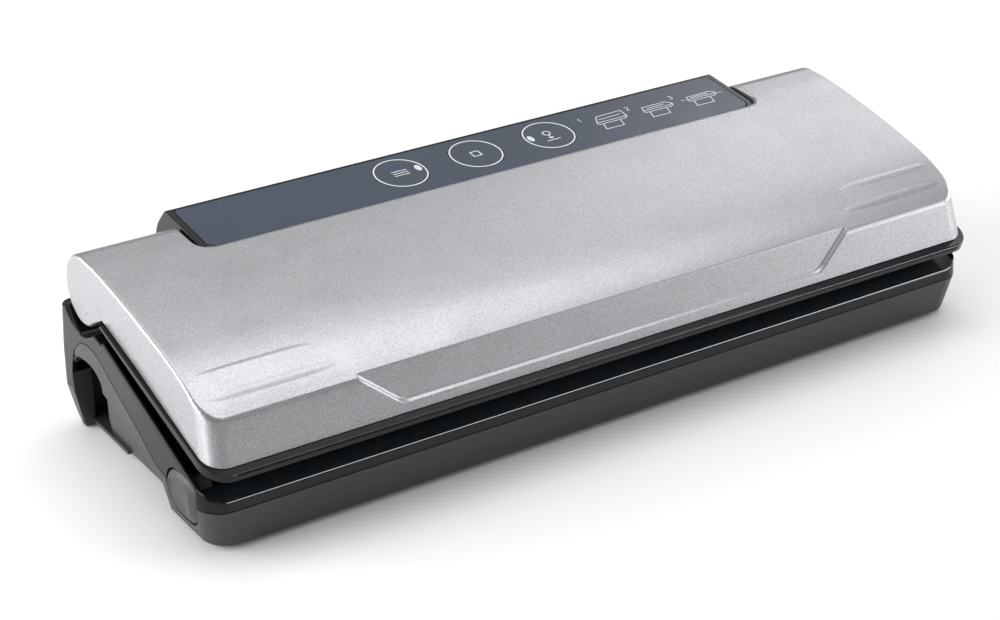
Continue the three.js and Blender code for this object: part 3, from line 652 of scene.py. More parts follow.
def ring_prism(outer, inner, v0, v1):
    """A groove for a gasket, from so far outside its middle line to so far inside."""
    def outline(out):
        corner = max(1.0, SEAL["corner"] + out)
        return plan(SEAL["x"] + out, SEAL["u0"] - out, SEAL["u1"] + out, corner, corner, 10)
    corners = ((outer, v0), (outer, v1), (inner, v1), (inner, v0))
    return loft([[(x, y, v) for x, y in outline(out)] for out, v in corners], closed=True)


def upper_housing():
    """The black upper shell: the deck with its trough, the cradles and the pod's shelf."""
    sizes = bpy.context.scene.sealer_sizes
    shell = topped(block(0), 0)
    inside = topped(block(WALL), 2.6)
    webs = both(box(138.6, 143.5, 82, 150, 0, 100))
    shell = carved(shell, carved(inside, webs))
    blocks = [surround(TROUGH, -12.5, -1), surround(BAR, -6.5, -1.1)]
    shell = added(shell, *(tilted(b, DECK) for b in blocks))
    shell = carved(shell, prism("X", below(seam_line(SEAM_GAP)), -FAR, FAR))
    cuts = [
        prism("Z", plan(TROUGH["x"], TROUGH["u0"], TROUGH["u1"], 6, 6), -TROUGH["depth"], 20),
        surround(BAR, -4.5, 20, GAP),
        ring_prism(2.5, -2.5, -1.6, 20),
        rod("Z", 3.1, -20, 0, NOZZLE, 32),
        both(box(HOOK_SLOT["x0"], HOOK_SLOT["x1"], HOOK_SLOT["u0"], HOOK_SLOT["u1"], -30, 20))]
    shell = carved(shell, *(tilted(c, DECK) for c in cuts), button_hole())
    tops = [side_line(0), rail_line(), middle_line(0)]
    seam = seam_line(SEAM_GAP)

    def outside(p):
        return p.y < 0 or p.y > 70 or abs(p.x) > 180

    shell = eased(
        shell, sizes.edge, lambda p: outside(p) and p.z > 21 and any(near_line(p, top) for top in tops),
        segments=4)
    shell = eased(
        shell, 0.45, lambda p: not outside(p) and in_plane(DECK)(p), angle=45, segments=2)
    return eased(shell, 0.3, lambda p: near_line(p, seam), angle=50, segments=2)


def near_line(p, line, limit=0.06):
    """Whether a point lies on a line in y and z."""
    for (y0, z0), (y1, z1) in zip(line, line[1:]):
        dy, dz = y1 - y0, z1 - z0
        t = max(0.0, min(1.0, ((p.y - y0) * dy + (p.z - z0) * dz) / (dy * dy + dz * dz)))
        if math.hypot(p.y - y0 - t * dy, p.z - z0 - t * dz) < limit:
            return True
    return False


ARCH = [
    (116, 28), (114.5, 33), (110, 37), (103, 38.4), (95, 38.2), (89, 35.4), (87.5, 31), (92, 24), (97.5, 15)]
SKIRT = [(37.5, 14.6), (46.4, 18.2), (54, 21.9), (70, 27), (87, 31.5)]
SCREW_SPOTS = [(-150, 6), (0, 6), (150, 6), (-130, 117), (0, 117), (130, 117)]
FOOT_SPOTS = [(-150, 22), (150, 22), (-150, 104), (150, 104)]
VENTS = {"x": 38.0, "y0": 44.0, "y1": 68.0, "pitch": 7.0, "count": 9, "width": 2.6}
INLET = {"x0": -104.0, "x1": -80.0, "z0": 7.0, "z1": 19.6, "rear": 135.5}


def is_rear(y):
    """Whether a screw is one of the rear ones, which stand deeper."""
    return y > 60


def arch_cut():
    """The openings in the base's ends by the rear legs, and the pockets behind them."""
    line = [*flowing(ARCH, 5), (105, -8), (116, -8)]
    deep = [(123 if y > 112 else y, z) for y, z in line]
    return both(prism("X", line, 179.8, FAR)), both(prism("X", deep, 172, 181))


def skirt_cut():
    """The sloping set-back of the base's ends, below the parting line."""
    outline = [(36, -8), *flowing(SKIRT, 4), (116, 31.5), (116, -8)]
    tool = prism("X", outline, 170, FAR)
    wedge = prism("Y", [(180, -8), (180, 2), (187.8, 31), (187.8, 60), (FAR, 60), (FAR, -8)], -20, 160)
    return both(kept(tool, wedge))


def lower_housing():
    """The dark grey lower shell: its arches, screw posts, vents and the mains inlet's opening."""
    shell = block(0)
    shell = carved(shell, prism("X", above(seam_line(-SEAM_GAP)), -FAR, FAR))
    shell = eased(shell, 0.9, lambda p: p.z < 2.2, angle=40)
    heels = both(box(180.2, 185.4, 116.4, 121, 0.6, 8))
    shell = added(shell, heels)
    inside = kept(block(WALL), box(-FAR, FAR, -20, 36, 5, 80))
    inside = added(
        inside, box(-176.5, 176.5, 34, 87, 5.01, 79), box(-169.6, 169.6, 86, 122.4, 5.02, 78),
        box(-138, 138, 100, 130.9, 5.03, 77))
    shell = carved(shell, inside)
    shell = eased(shell, 0.35, lambda p: abs(p.z - SEAM_Z) < 0.3 and p.y < 10, angle=50, segments=2)
    shell = carved(shell, skirt_cut(), *arch_cut(), button_hole())
    posts = [rod("Z", 4.6, 4, 26 if is_rear(y) else 15, (x, y), 32) for x, y in SCREW_SPOTS]
    wells = [rod("Z", 3.4, -5, 18 if is_rear(y) else 8, (x, y), 32) for x, y in SCREW_SPOTS]
    bores = [rod("Z", 1.9, -6, 40, spot, 24) for spot in SCREW_SPOTS]
    shell = added(shell, together(*posts))
    shell = carved(shell, together(*wells), together(*bores))
    half = VENTS["width"] / 2
    vents = []
    for i in range(VENTS["count"]):
        x = VENTS["x"] + (i - (VENTS["count"] - 1) / 2) * VENTS["pitch"]
        vents.append(prism("Z", slot_outline(x, half, VENTS["y0"], VENTS["y1"]), -5, 8))
    shell = carved(shell, together(*vents), box(
        INLET["x0"] - GAP, INLET["x1"] + GAP, INLET["rear"] - 12, INLET["rear"] + 5,
        INLET["z0"] - GAP, INLET["z1"] + GAP))
    arch, seam = flowing(ARCH, 5), seam_line(-SEAM_GAP)
    shell = eased(
        shell, 1.3, lambda p: abs(p.x) > 180 and p.z > 3 and near_line(p, arch), angle=40, segments=4)
    sills = both(box(170.5, 182.0, 84, 124.5, 2.0, 3.8))
    shell = added(shell, sills)

    def by_the_arch(p):
        return (
            p.y > 34 and abs(p.x) > 170 and p.z < 45 and not near_line(p, arch, 1.6)
            and not near_line(p, seam))

    return eased(shell, 0.4, by_the_arch, angle=32, segments=2)


def slot_outline(x, half, y0, y1):
    """A slot with round ends, centred on x."""
    return [*arc(half, 0, 180, (x, y1 - half), 10), *arc(half, 180, 360, (x, y0 + half), 10)]


# ---- control pod ----
def on_panel(v, w):
    """Where a point v up the panel's slope and w out of it lies in y and z."""
    y, z, angle = TOP
    return (y + v * cos(angle) - w * sin(angle), z + v * sin(angle) + w * cos(angle))


def pod_profile(inset, shift=0.0):
    """Section of the pod, with its front moved back by a shift."""
    foot = SHELF_Z + 0.2 - 3 * inset
    back = flowing([(128, 80.2), (131.7, 75.8), (134, 71), (135.2, 65)], 4)
    return [
        on_panel(inset + shift, -inset), on_panel(35.4 - inset, -inset), on_panel(36.4 - inset, -0.7 - inset),
        *((y - inset, z - inset / 2) for y, z in back), (135.5 - inset, foot), (90.4 + shift, foot),
        *arc(19.7 - inset, 216, 144, (HINGE[0] + shift, HINGE[1]), 28)]


KEY_SPOTS = [((i - 1) * KEY_PITCH, KEY_V) for i in range(3)]


def key_holes(clearance, low, sides=64):
    """Tools that cut the keys' openings, in the panel's frame."""
    return together(*(rod("Z", KEY_R + clearance, low, 5, spot, sides) for spot in KEY_SPOTS))


def control_pod():
    """The black pod at the rear, with round front corners and a bed for the panel."""
    corner = 6.0
    ends = [(POD_X - corner + x, corner - y) for x, y in arc(corner, 0, 90, (0, 0), 10)]
    ends = [*((-x, shift) for x, shift in ends), *reversed(ends)]
    shell = loft([[(x, y, z) for y, z in pod_profile(0, shift)] for x, shift in ends])
    front = [on_panel(0, 0), on_panel(9, 0)]
    shell = eased(shell, 0.7, lambda p: p.z > 56 and (p.y > 90 or near_line(p, front)))
    shell = carved(shell, prism("X", pod_profile(WALL), -POD_X + WALL, POD_X - WALL))
    bed = prism("Z", plan(PANEL["x"] + GAP, PANEL["front"] - GAP, PANEL["rear"] + GAP, 5, 2), -1.05, 5)
    pins = both(rod("X", 3.3, 130, 145, HINGE, 40))
    shell = carved(shell, tilted(bed, TOP), tilted(key_holes(0.5, -8), TOP), pins)
    return eased(shell, 0.25, in_plane(TOP), angle=50, segments=2)


def control_panel():
    """The thin slate-blue film on the pod."""
    plate = prism("Z", plan(PANEL["x"], PANEL["front"], PANEL["rear"], 5, 2), -0.9, 0.1)
    plate = carved(plate, key_holes(0.3, -5, 96))
    return tilted(eased(plate, 0.12, lambda p: p.z > 0, angle=50, segments=2), TOP)


def key_cap(x):
    """A round key on its stem, flush with the panel."""
    stem = [(0, -8.3), (2, -8.3), (2, -4.4), (KEY_R - 0.2, -4.4), (KEY_R - 0.2, -1.6)]
    rim = [(KEY_R, -1.6), (KEY_R, -0.1), (KEY_R - 0.06, 0.02), (KEY_R - 0.2, 0.05)]
    cap = turned([*stem, *rim, (0, 0.05)], 96)
    return tilted(moved(cap, Matrix.Translation((x, KEY_V, 0))), TOP)


def lens_dome(x, v):
    """An oval indicator window that stands a little proud of its key."""
    levels = [(1.0, -0.4), (1.0, 0.12), (0.85, 0.2), (0.5, 0.24)]  # share of the full size, height
    return loft([[(a, b, w) for a, b in ellipse(x, v, 1.35 * s, 2.5 * s, 40)] for s, w in levels])


# ---- printed marks: thin closed ribbons on the panel ----
INK = {"low": 0.03, "high": 0.13}  # height of the ink, out of the panel's plane


def ribbon(points, width, closed=False):
    """A flat line of a given width through 2-D points."""
    n = len(points)
    left, right = [], []
    for i, (x, y) in enumerate(points):
        before = points[i - 1] if closed or i else points[i]
        after = points[(i + 1) % n] if closed or i < n - 1 else points[i]
        a = Vector((x - before[0], y - before[1])).normalized() if before != (x, y) else None
        b = Vector((after[0] - x, after[1] - y)).normalized() if after != (x, y) else None
        a, b = a or b, b or a
        normal = Vector((-(a.y + b.y), a.x + b.x)).normalized()
        reach = width / 2 / max(0.5, normal.dot(Vector((-a.y, a.x))))
        left.append((x + normal.x * reach, y + normal.y * reach))
        right.append((x - normal.x * reach, y - normal.y * reach))
    bm = bmesh.new()
    rows = [[bm.verts.new((*p, z)) for p in side] for side, z in (
        (left, INK["low"]), (left, INK["high"]), (right, INK["high"]), (right, INK["low"]))]
    steps = n if closed else n - 1
    for a, b in zip(rows, [*rows[1:], rows[0]]):
        for i in range(steps):
            bm.faces.new((a[i], a[(i + 1) % n], b[(i + 1) % n], b[i]))
    if not closed:
        for i in (0, n - 1):
            bm.faces.new([row[i] for row in rows])
    return thing(bm)


def drawn(lines, x, v, scale=1.0, width=0.35):
    """Ribbons from lines of points, each (points, closed), placed on the panel."""
    return together(*(
        ribbon([(x + a * scale, v + b * scale) for a, b in points], width, closed)
        for points, closed in lines))


def ellipse(cx, cy, rx, ry, steps=24):
    """Points round an ellipse."""
    return [(cx + rx * cos(2 * pi * i / steps), cy + ry * sin(2 * pi * i / steps)) for i in range(steps)]


DIGITS = {
    1: [([(-0.7, 0.9), (0.2, 1.7), (0.2, -1.7)], False)],
    2: [([*arc(0.95, 170, -35, (0, 0.75), 10), (-1.0, -1.7), (1.1, -1.7)], False)],
    3: [([*arc(0.85, 150, -80, (0, 0.85), 8), *arc(0.95, 80, -150, (0, -0.8), 8)], False)],
}

BAG = ([(-5.6, -1.6), (-7.2, -6.6), (2.4, -6.6), (3.6, -1.6)], False)
MACHINE = ([(-8.2, -0.6), (-7.6, -1.7), (6.4, -1.7), (8.4, -0.4), (8.4, 0.6), (6.6, 0.0), (-7.8, 0.0)], True)
STEP_DRAWINGS = {
    1: [MACHINE, BAG, ([(-7.8, 0.3), (-5.2, 5.0), (8.6, 5.6), (8.4, 0.8)], False),
        ([(-5.6, 2.2), (6.6, 2.8)], False)],
    2: [MACHINE, BAG, ([(-7.8, 0.3), (-7.0, 2.9), (5.8, 3.4), (8.4, 0.9)], False),
        ([(-5.4, 1.4), (4.6, 1.8)], False)],
    3: [MACHINE, BAG, ([(-7.8, 0.3), (-7.2, 2.2), (5.8, 2.7), (8.4, 0.9)], False),
        ([(-5.4, 1.1), (4.6, 1.5)], False), ([(-11.0, 1.0), (-9.2, 0.2)], False),
        ([(9.4, -0.2), (11.2, -1.0)], False)],
}

KEY_MARKS = {
    "seal": [([(-3.2, 1.5), (3.2, 1.5)], False), ([(-3.2, 0.0), (3.2, 0.0)], False),
             ([(-3.2, -1.5), (3.2, -1.5)], False)],
    "stop": [([(-1.7, -1.7), (1.7, -1.7), (1.7, 1.7), (-1.7, 1.7)], True)],
    "vacuum": [(ellipse(0, 1.6, 1.5, 1.5), True), ([(0, 0.1), (0, -2.6)], False),
               ([(-1.1, -1.6), (0, -2.7), (1.1, -1.6)], False), ([(-3.0, -3.9), (3.0, -3.9)], False)],
}
LENSES = {"seal": (9.0, 0.6), "vacuum": (-9.0, 0.6)}
NUMBER_SPOTS = {1: (58.0, 24.0), 2: (84.0, 24.0), 3: (108.5, 24.0)}
DRAWING_SPOTS = {1: (71.8, 18.6), 2: (97.6, 18.6), 3: (122.5, 18.6)}


# ---- lid ----
CREST = [  # section of the lid's top from front to back
    (1.7, 55.4), (8.5, 60), (18, 65.2), (30, 69.5), (44, 73), (61, 76.7), (77, 79.7), (90, 81.7), (97, 82.5)]
FACE_LEAN = (55.4 - 38.5) / (1.7 + 3.5)  # rise over run of the lid's front face


def face_y(z):
    """How far back the lid's front face is at a height."""
    return -3.5 + (z - 38.5) / FACE_LEAN


def lower_edge(y):
    """Height of the cover's lower edge."""
    return 38.5 + (y + 3.5) * (62.8 - 38.5) / 90.5


def cover_block(inset):
    """Front and sides of the lid, which lean in as they rise and part a little towards the back."""
    corner, splay = 9, 5e-5
    rings = []
    for z, half in ((20, 189), (38, 188), (55.4, 186.4), (100, 185.4)):
        ring = plan(half - inset, face_y(z) + inset, 150, corner - inset, 4, 20)
        rings.append([(x * (1 + max(0.0, y - 10) * splay), y, z) for x, y in ring])
    return loft(rings)


RECESS = {"depth": 1.6, "top": 121.5, "bottom": 103.5, "z": 42.7, "corner": 9.0, "flare": 1.1}


def recess():
    """The shallow field of the front face, a trapezoid with round lower corners."""
    slope = (RECESS["top"] - RECESS["bottom"]) / (57 - RECESS["z"])
    rise = math.degrees(math.atan(1 / slope))

    def outline(grown):
        r = RECESS["corner"] + grown
        x = RECESS["bottom"] - RECESS["corner"] * math.tan(radians(rise) / 2)
        corner = arc(r, 270, 270 + rise, (x, RECESS["z"] + RECESS["corner"]), 14)
        last = corner[-1]
        half = [*corner, (last[0] + slope * (75 - last[1]), 75)]
        return [*half, *((-x, z) for x, z in reversed(half))]

    return loft([
        [(x, -40, z) for x, z in outline(RECESS["flare"])],
        [(x, face_y(z) - 0.3, z) for x, z in outline(RECESS["flare"])],
        [(x, face_y(z) + RECESS["depth"], z) for x, z in outline(0)]])


def notch_drum(grown=0.0):
    """What the lid's rear clears round the pod: a drum about the hinge with rounded ends."""
    r, end, corner = NOTCH_R + grown, NOTCH_X + grown, 7.0
    profile = [(end - corner + x, r - corner + y) for x, y in arc(corner, 0, 90, (0, 0), 8)]
    profile = [*profile, *((-x, y) for x, y in reversed(profile))]
    return loft([[(x, *p) for p in arc(ring, 0, 360, HINGE, 120)[:-1]] for x, ring in profile])


def lid_cover():
    """The silver cover, with its rounded rear end and the notch for the pod."""
    sizes = bpy.context.scene.sealer_sizes
    lean = (60 - 55.4) / (8.5 - 1.7)
    profile = [
        (-20, lower_edge(-20)), (-20, 55.4 - 21.7 * lean), *flowing(CREST, 5)[:-1],
        *arc(BARREL_R, 90, -110, BARREL, 56), (97, 55.9), (89.5, 61.4), (87, lower_edge(87))]
    shell = kept(prism("X", profile, -FAR, FAR), cover_block(0))
    shell = eased(
        shell, sizes.lid_edge, lambda p: p.y > 90 or p.z > lower_edge(p.y) + 1.5, angle=22, segments=5)
    inner = [(y + (0.8 if i else 2), z - (2.1 if i else 1.8)) for i, (y, z) in enumerate(CREST[:7])]
    cavity = kept(prism("X", [(-9, 18), *inner, (86.2, 78.9), (86.2, 18)], -FAR, FAR), cover_block(WALL))
    notch = prism("Z", plan(NOTCH_X, 87.5, 170, 8, 1), 40, 120)
    shell = carved(shell, cavity, notch, notch_drum())
    shell = eased(shell, 0.9, lambda p: abs(p.x) < 144 and p.y > 84 and p.z > 70, angle=35, segments=3)
    shell = carved(shell, recess(), both(rod("X", PIN_HOLE_R, 130, 151.6, HINGE, 32)))

    def in_recess(p):
        return abs(p.x) < 126 and 41.5 < p.z < 60 and face_y(p.z) - 0.3 < p.y < face_y(p.z) + 4.5

    return eased(shell, 0.55, in_recess, angle=24, segments=3, hollows=True)


def crest_z(y):
    """Height of the lid's top at a distance from the front."""
    line = flowing(CREST, 5)
    for (y0, z0), (y1, z1) in zip(line, line[1:]):
        if y0 <= y <= y1:
            return z0 + (z1 - z0) * (y - y0) / (y1 - y0)
    raise ValueError(f"the crest has no height at {y}")


RIBS = [(156.3, 19.6, 25.5), (153.5, 10.0, 27.5)]  # middle in x, y, and half length


def rib(x, y, half, side):
    """A low swelling of the cover that dies away at its ends."""
    nx, ny, wide, rise = 64, 14, 2.5, 0.36
    bm = bmesh.new()
    rows = []
    for i in range(nx + 1):
        a = -1 + 2 * i / nx
        row = []
        for j in range(ny + 1):
            b = -1 + 2 * j / ny
            ends = 1 - abs(a) ** 5
            lift = rise * ends * cos(pi * b / 2) ** 2 - 0.04
            py = y + b * wide * (0.3 + 0.7 * ends ** 0.5)
            row.append((side * (x + a * half), py, crest_z(py) + lift))
        rows.append(row)
    tops = [[bm.verts.new(p) for p in row] for row in rows]
    feet = [[bm.verts.new((p[0], p[1], p[2] - 1.0)) for p in row] for row in rows]
    for i in range(nx):
        for j in range(ny):
            bm.faces.new((tops[i][j], tops[i + 1][j], tops[i + 1][j + 1], tops[i][j + 1]))
            bm.faces.new((feet[i][j], feet[i][j + 1], feet[i + 1][j + 1], feet[i + 1][j]))
    for i in range(nx):
        for j in (0, ny):
            bm.faces.new((tops[i][j], tops[i + 1][j], feet[i + 1][j], feet[i][j]))
    for j in range(ny):
        for i in (0, nx):
            bm.faces.new((tops[i][j], tops[i][j + 1], feet[i][j + 1], feet[i][j]))
    return thing(bm)


RIM = {"x": 188.9, "u": -7.2, "v": 3.9, "corner": 12.5}


def hinge_along(plane):
    """How far up a plane's slope the hinge lies."""
    y, z, angle = plane
    return (HINGE[0] - y) * cos(angle) + (HINGE[1] - z) * sin(angle)


# The lid's features are further down its slope than the deck's, so that they meet once it is latched.
LATCH_SHIFT = hinge_along(DECK) - hinge_along(LID)


def lid_frame():
    """The black plate under the cover, with its rim and the chamber's upper half."""
    u0, v1 = RIM["u"], RIM["v"]
    section = [
        (u0, 1.0), (u0 + 1.2, 0), (89, 0), (89, 1.6), (-2.5, 3.5), (u0 + 1.2, v1), (u0 + 0.4, v1 - 0.2),
        (u0, v1 - 0.8)]
    plate = prism("X", section, -FAR, FAR)
    plate = kept(plate, prism("Z", plan(RIM["x"], u0, 120, RIM["corner"], 1, 24), -20, 20))
    step = [(110, -1), (111.2, 1.0), (-111.2, 1.0), (-110, -1)]
    plate = carved(plate, prism("Y", step, -20, u0 + 3.5))
    plate = eased(plate, 0.35, lambda p: p.y < 80, angle=25, segments=3)
    shift = -LATCH_SHIFT
    blocks = [surround(TROUGH, 1, 10.5, shift=shift), surround(BAR, 1.1, 7, shift=shift)]
    hooks = both(box(
        HOOK["x0"] - GAP, HOOK["x1"] + GAP, HOOK["u0"] - GAP + shift, HOOK["u1"] + GAP + shift, -5, 20))
    cuts = [
        prism("Z", plan(TROUGH["x"], TROUGH["u0"] + shift, TROUGH["u1"] + shift, 6, 6), -5, 8.3),
        surround(BAR, -5, 4.6, GAP, shift),
        moved(ring_prism(2.5, -2.5, -5, 1.6), Matrix.Translation((0, shift, 0))),
        hooks]
    plate = carved(added(plate, *blocks), *cuts)
    plate = eased(plate, 0.35, lambda p: abs(p.z) < 0.1 and p.y > u0 + 3, angle=50, segments=2)
    plate = tilted(plate, LID)
    notch = rod("X", NOTCH_R, -NOTCH_X - 0.6, NOTCH_X + 0.6, HINGE, 120)
    plate = carved(plate, notch, rod("X", 17.2, -FAR, FAR, HINGE, 120))
    guard = [*arc(NOTCH_R + 2, 157, 206, HINGE, 20), *arc(NOTCH_R, 206, 157, HINGE, 20)]
    return added(plate, prism("X", guard, -NOTCH_X + GAP, NOTCH_X - GAP))


# ---- small pieces ----
def gasket(low, high, shift, plane):
    """Foam ring with a rounded free edge."""
    side, rise = 2.2, 0.9
    dome = [(side * cos(a), high + rise * sin(a) - rise) for a in (radians(180 * i / 8) for i in range(9))]
    if high > low:
        section = [(-side, low), (side, low), *dome]
    else:
        section = [(side, low), (-side, low), *((-x, 2 * high - z) for x, z in dome)]
    ring = band(section, SEAL["x"], SEAL["u0"], SEAL["u1"], SEAL["corner"])
    return tilted(moved(ring, Matrix.Translation((0, shift, 0))), plane)


def release_button():
    """An oval button with a dished face."""
    levels = [  # how far out, margin of the outline
        (BUTTON["back"], 0), (188.3, 0), (188.8, -0.12), (189.2, -0.4), (190.0, -2.0), (190.3, -2.7),
        (190.4, -3.1), (190.35, -3.5), (190.1, -4.0), (189.85, -4.7), (189.7, -6.2), (189.6, -9.5)]
    return loft([[
        (x - (BUTTON_DRAFT * max(0.0, SEAM_Z - z) if i else 0), y - 0.35 * margin, z)
        for y, z in button_outline(margin)] for i, (x, margin) in enumerate(levels)])


def coil(node, turns=6, wire=0.4):
    """A helical spring that fills a frame node's box, lying along X, in millimetres."""
    low, high = (Vector(corner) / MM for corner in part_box(node))
    middle = (low + high) / 2
    r = (high.z - low.z) / 2 - wire
    length = high.x - low.x - 2 * wire
    rings = []
    steps = turns * 28
    for i in range(steps + 1):
        turn = 2 * pi * turns * i / steps
        x = low.x + wire + length * i / steps
        along = Vector((length / (2 * pi * turns), -r * sin(turn), r * cos(turn))).normalized()
        out = Vector((0, cos(turn), sin(turn)))
        side = along.cross(out)
        centre = Vector((x, middle.y - DATUM_Y + r * cos(turn), middle.z + r * sin(turn)))
        rings.append([
            centre + wire * (out * cos(2 * pi * k / 10) + side * sin(2 * pi * k / 10)) for k in range(10)])
    return loft(rings)


def foot(spot):
    """A rubber foot with a rounded lower edge."""
    profile = [(0, 0), (5.4, 0), (6.1, 0.12), (6.6, 0.5), (7, 1.1), (7, 2), (0, 2)]
    return moved(turned(profile, 48), Matrix.Translation((*spot, 0)))


def screw(spot):
    """A case screw with a cross in its head, point upwards."""
    x, y = spot
    head = 15.6 if is_rear(y) else 5.6
    tip = head + 16
    profile = [
        (0, head), (2.3, head), (2.8, head + 0.3), (3, head + 0.8), (3, head + 2), (1.4, head + 2),
        (1.4, tip - 2), (0.3, tip), (0, tip)]
    body = moved(turned(profile, 32), Matrix.Translation((x, y, 0)))
    cross = [
        box(x - half_x, x + half_x, y - half_y, y + half_y, head - 1, head + 1.1)
        for half_x, half_y in ((1.7, 0.3), (0.3, 1.7))]
    return carved(body, *cross)


def printed(obj, name, body):
    """A mark in white ink that lies on the panel."""
    piece = shown(tilted(obj, TOP), name, body, "slate_panel")
    piece.data.materials[0] = material("ink")


# ---- operators ----
class SEALER_OT_base(bpy.types.Operator):
    """The two shells of the base"""
    bl_idname = "sealer.base"
    bl_label = "Base shells"

    def execute(self, context):
        shown(lower_housing(), "lower_shell", "root", "dark_grey", ["lower_housing"])
        shown(upper_housing(), "upper_shell", "root", "gloss_black", ["upper_housing"])
        return {"FINISHED"}


class SEALER_OT_lid(bpy.types.Operator):
    """The silver lid cover with its front field and grip ribs, and the black rim below it"""
    bl_idname = "sealer.lid"
    bl_label = "Lid"

    def execute(self, context):
        shown(lid_cover(), "silver_lid", "lid", "silver_cover", ["lid_cover"])
        ribs = together(*(rib(x, y, half, side) for x, y, half in RIBS for side in SIDES.values()))
        shown(ribs, "lid_ribs", "lid", "silver_cover", smooth=60)
        shown(lid_frame(), "lid_rim", "lid", "gloss_black", ["lid_frame"])
        return {"FINISHED"}


class SEALER_OT_controls(bpy.types.Operator):
    """The control pod, its panel, and the three round keys with their indicators"""
    bl_idname = "sealer.controls"
    bl_label = "Controls"

    def execute(self, context):
        shown(control_pod(), "pod_shell", "root", "gloss_black", ["control_pod"])
        shown(control_panel(), "panel_film", "root", "slate_panel", ["control_panel"])
        for (x, v), name in zip(KEY_SPOTS, KEY_MARKS):
            body = "key_" + name
            shown(key_cap(x), body + "_cap", body, "slate_panel", [body])
            ring = ribbon(ellipse(x, v, KEY_R - 0.4, KEY_R - 0.4, 120), 0.6, closed=True)
            printed(ring, body + "_ring", body)
            printed(drawn(KEY_MARKS[name], x, v, 1.15, 0.45), body + "_symbol", body)
            if name in LENSES:
                dx, dv = LENSES[name]
                lens = lens_dome(x + dx, v + dv)
                shown(tilted(lens, TOP), "lens_" + name, body, "lens", ["indicator_" + name])
        return {"FINISHED"}


class SEALER_OT_drawings(bpy.types.Operator):
    """The three numbered step drawings on the panel"""
    bl_idname = "sealer.drawings"
    bl_label = "Step drawings"

    def execute(self, context):
        for step, lines in STEP_DRAWINGS.items():
            marks = drawn(lines, *DRAWING_SPOTS[step], width=0.38)
            number = drawn(DIGITS[step], *NUMBER_SPOTS[step], scale=0.8, width=0.3)
            printed(together(marks, number), f"step_{step}", "root")
        return {"FINISHED"}


class SEALER_OT_seals(bpy.types.Operator):
    """The foam gaskets, the heater bar with its tape, and the pressure pad"""
    bl_idname = "sealer.seals"
    bl_label = "Seals"

    def execute(self, context):
        lower, upper = gasket(-1.3, 1.6, 0, DECK), gasket(1.3, -2.4, -LATCH_SHIFT, LID)
        shown(lower, "deck_gasket", "root", "gasket_foam", ["lower_gasket"], smooth=60)
        shown(upper, "lid_gasket", "lid", "gasket_foam", ["upper_gasket"], smooth=60)
        for node, body, slot, radius in (
                ("heater_bar", "root", "silicone", 0.3), ("sealing_tape", "root", "ptfe_tape", 0.08),
                ("pressure_pad", "lid", "silicone", 0.8)):
            shown(softened(node, radius), node + "_fine", body, slot, [node])
        return {"FINISHED"}


class SEALER_OT_releases(bpy.types.Operator):
    """The release buttons, their latch plates, and the lid's hooks"""
    bl_idname = "sealer.releases"
    bl_label = "Releases"

    def execute(self, context):
        for side, sign in SIDES.items():
            body = "release_" + side
            button = moved(release_button(), Matrix.Diagonal((sign, 1, 1, 1)))
            shown(button, body + "_cap", body, "dark_grey", ["release_button_" + side])
            plate, hook = "latch_plate_" + side, "lid_hook_" + side
            shown(softened(plate, 0.25), "latch_" + side, body, "nylon", [plate])
            shown(softened(hook, 0.3), "hook_" + side, "lid", "gloss_black", [hook])
            node = "release_spring_" + side
            spring = shown(coil(node), "spring_" + side, "root", "steel", [node])
            low, high = (Vector(corner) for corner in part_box(node))
            anchor = (low + high) / 2
            anchor.x = min(low.x, high.x, key=abs)
            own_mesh(spring)
        return {"FINISHED"}


class SEALER_OT_underside(bpy.types.Operator):
    """The feet, the case screws and the mains inlet"""
    bl_idname = "sealer.underside"
    bl_label = "Feet, screws and inlet"

    def execute(self, context):
        for i, spot in enumerate(FOOT_SPOTS, 1):
            shown(foot(spot), f"rubber_foot_{i}", "root", "soft_rubber", [f"foot_{i}"])
        for i, spot in enumerate(SCREW_SPOTS, 1):
            shown(screw(spot), f"screw_{i}", "root", "steel", [f"case_screw_{i}"])
        shown(softened("mains_inlet", 0.25), "inlet_socket", "root", "black_nylon", ["mains_inlet"])
        shown(softened("intake_nozzle", 0.25), "nozzle", "root", "nylon", ["intake_nozzle"])
        return {"FINISHED"}


class SEALER_OT_inner_finishes(bpy.types.Operator):
    """Materials for the frame's own pieces, mostly inside the base"""
    bl_idname = "sealer.inner_finishes"
    bl_label = "Inner finishes"

    def execute(self, context):
        slots = {part["node"]: part["material_slot"] for part in frame["record"]["subparts"]}
        for node, obj in frame["nodes"].items():
            obj.data.materials.clear()
            obj.data.materials.append(material(slots[node]))
        return {"FINISHED"}


LIGHTS = {  # place, what it faces, and size, in metres
    "overhead": ((0.2, 0.2, 1.6), (0.0, 0.0, 0.0), (2.0, 1.0)),
    "left_side": ((-1.2, 0.35, 0.45), (0.0, 0.0, 0.02), (1.7, 0.8)),
    "right_side": ((1.4, -0.5, 0.42), (0.1, 0.0, 0.05), (1.7, 0.7)),
    "right_back": ((1.4, 0.9, 1.15), (0.1, 0.0, 0.05), (0.9, 0.9)),
    "far_back": ((0.5, 1.5, 1.15), (0.0, 0.0, 0.05), (1.2, 0.7)),
    "front_strip": ((0.9, -1.15, 1.05), (0.0, 0.0, 0.03), (2.2, 0.4)),
}


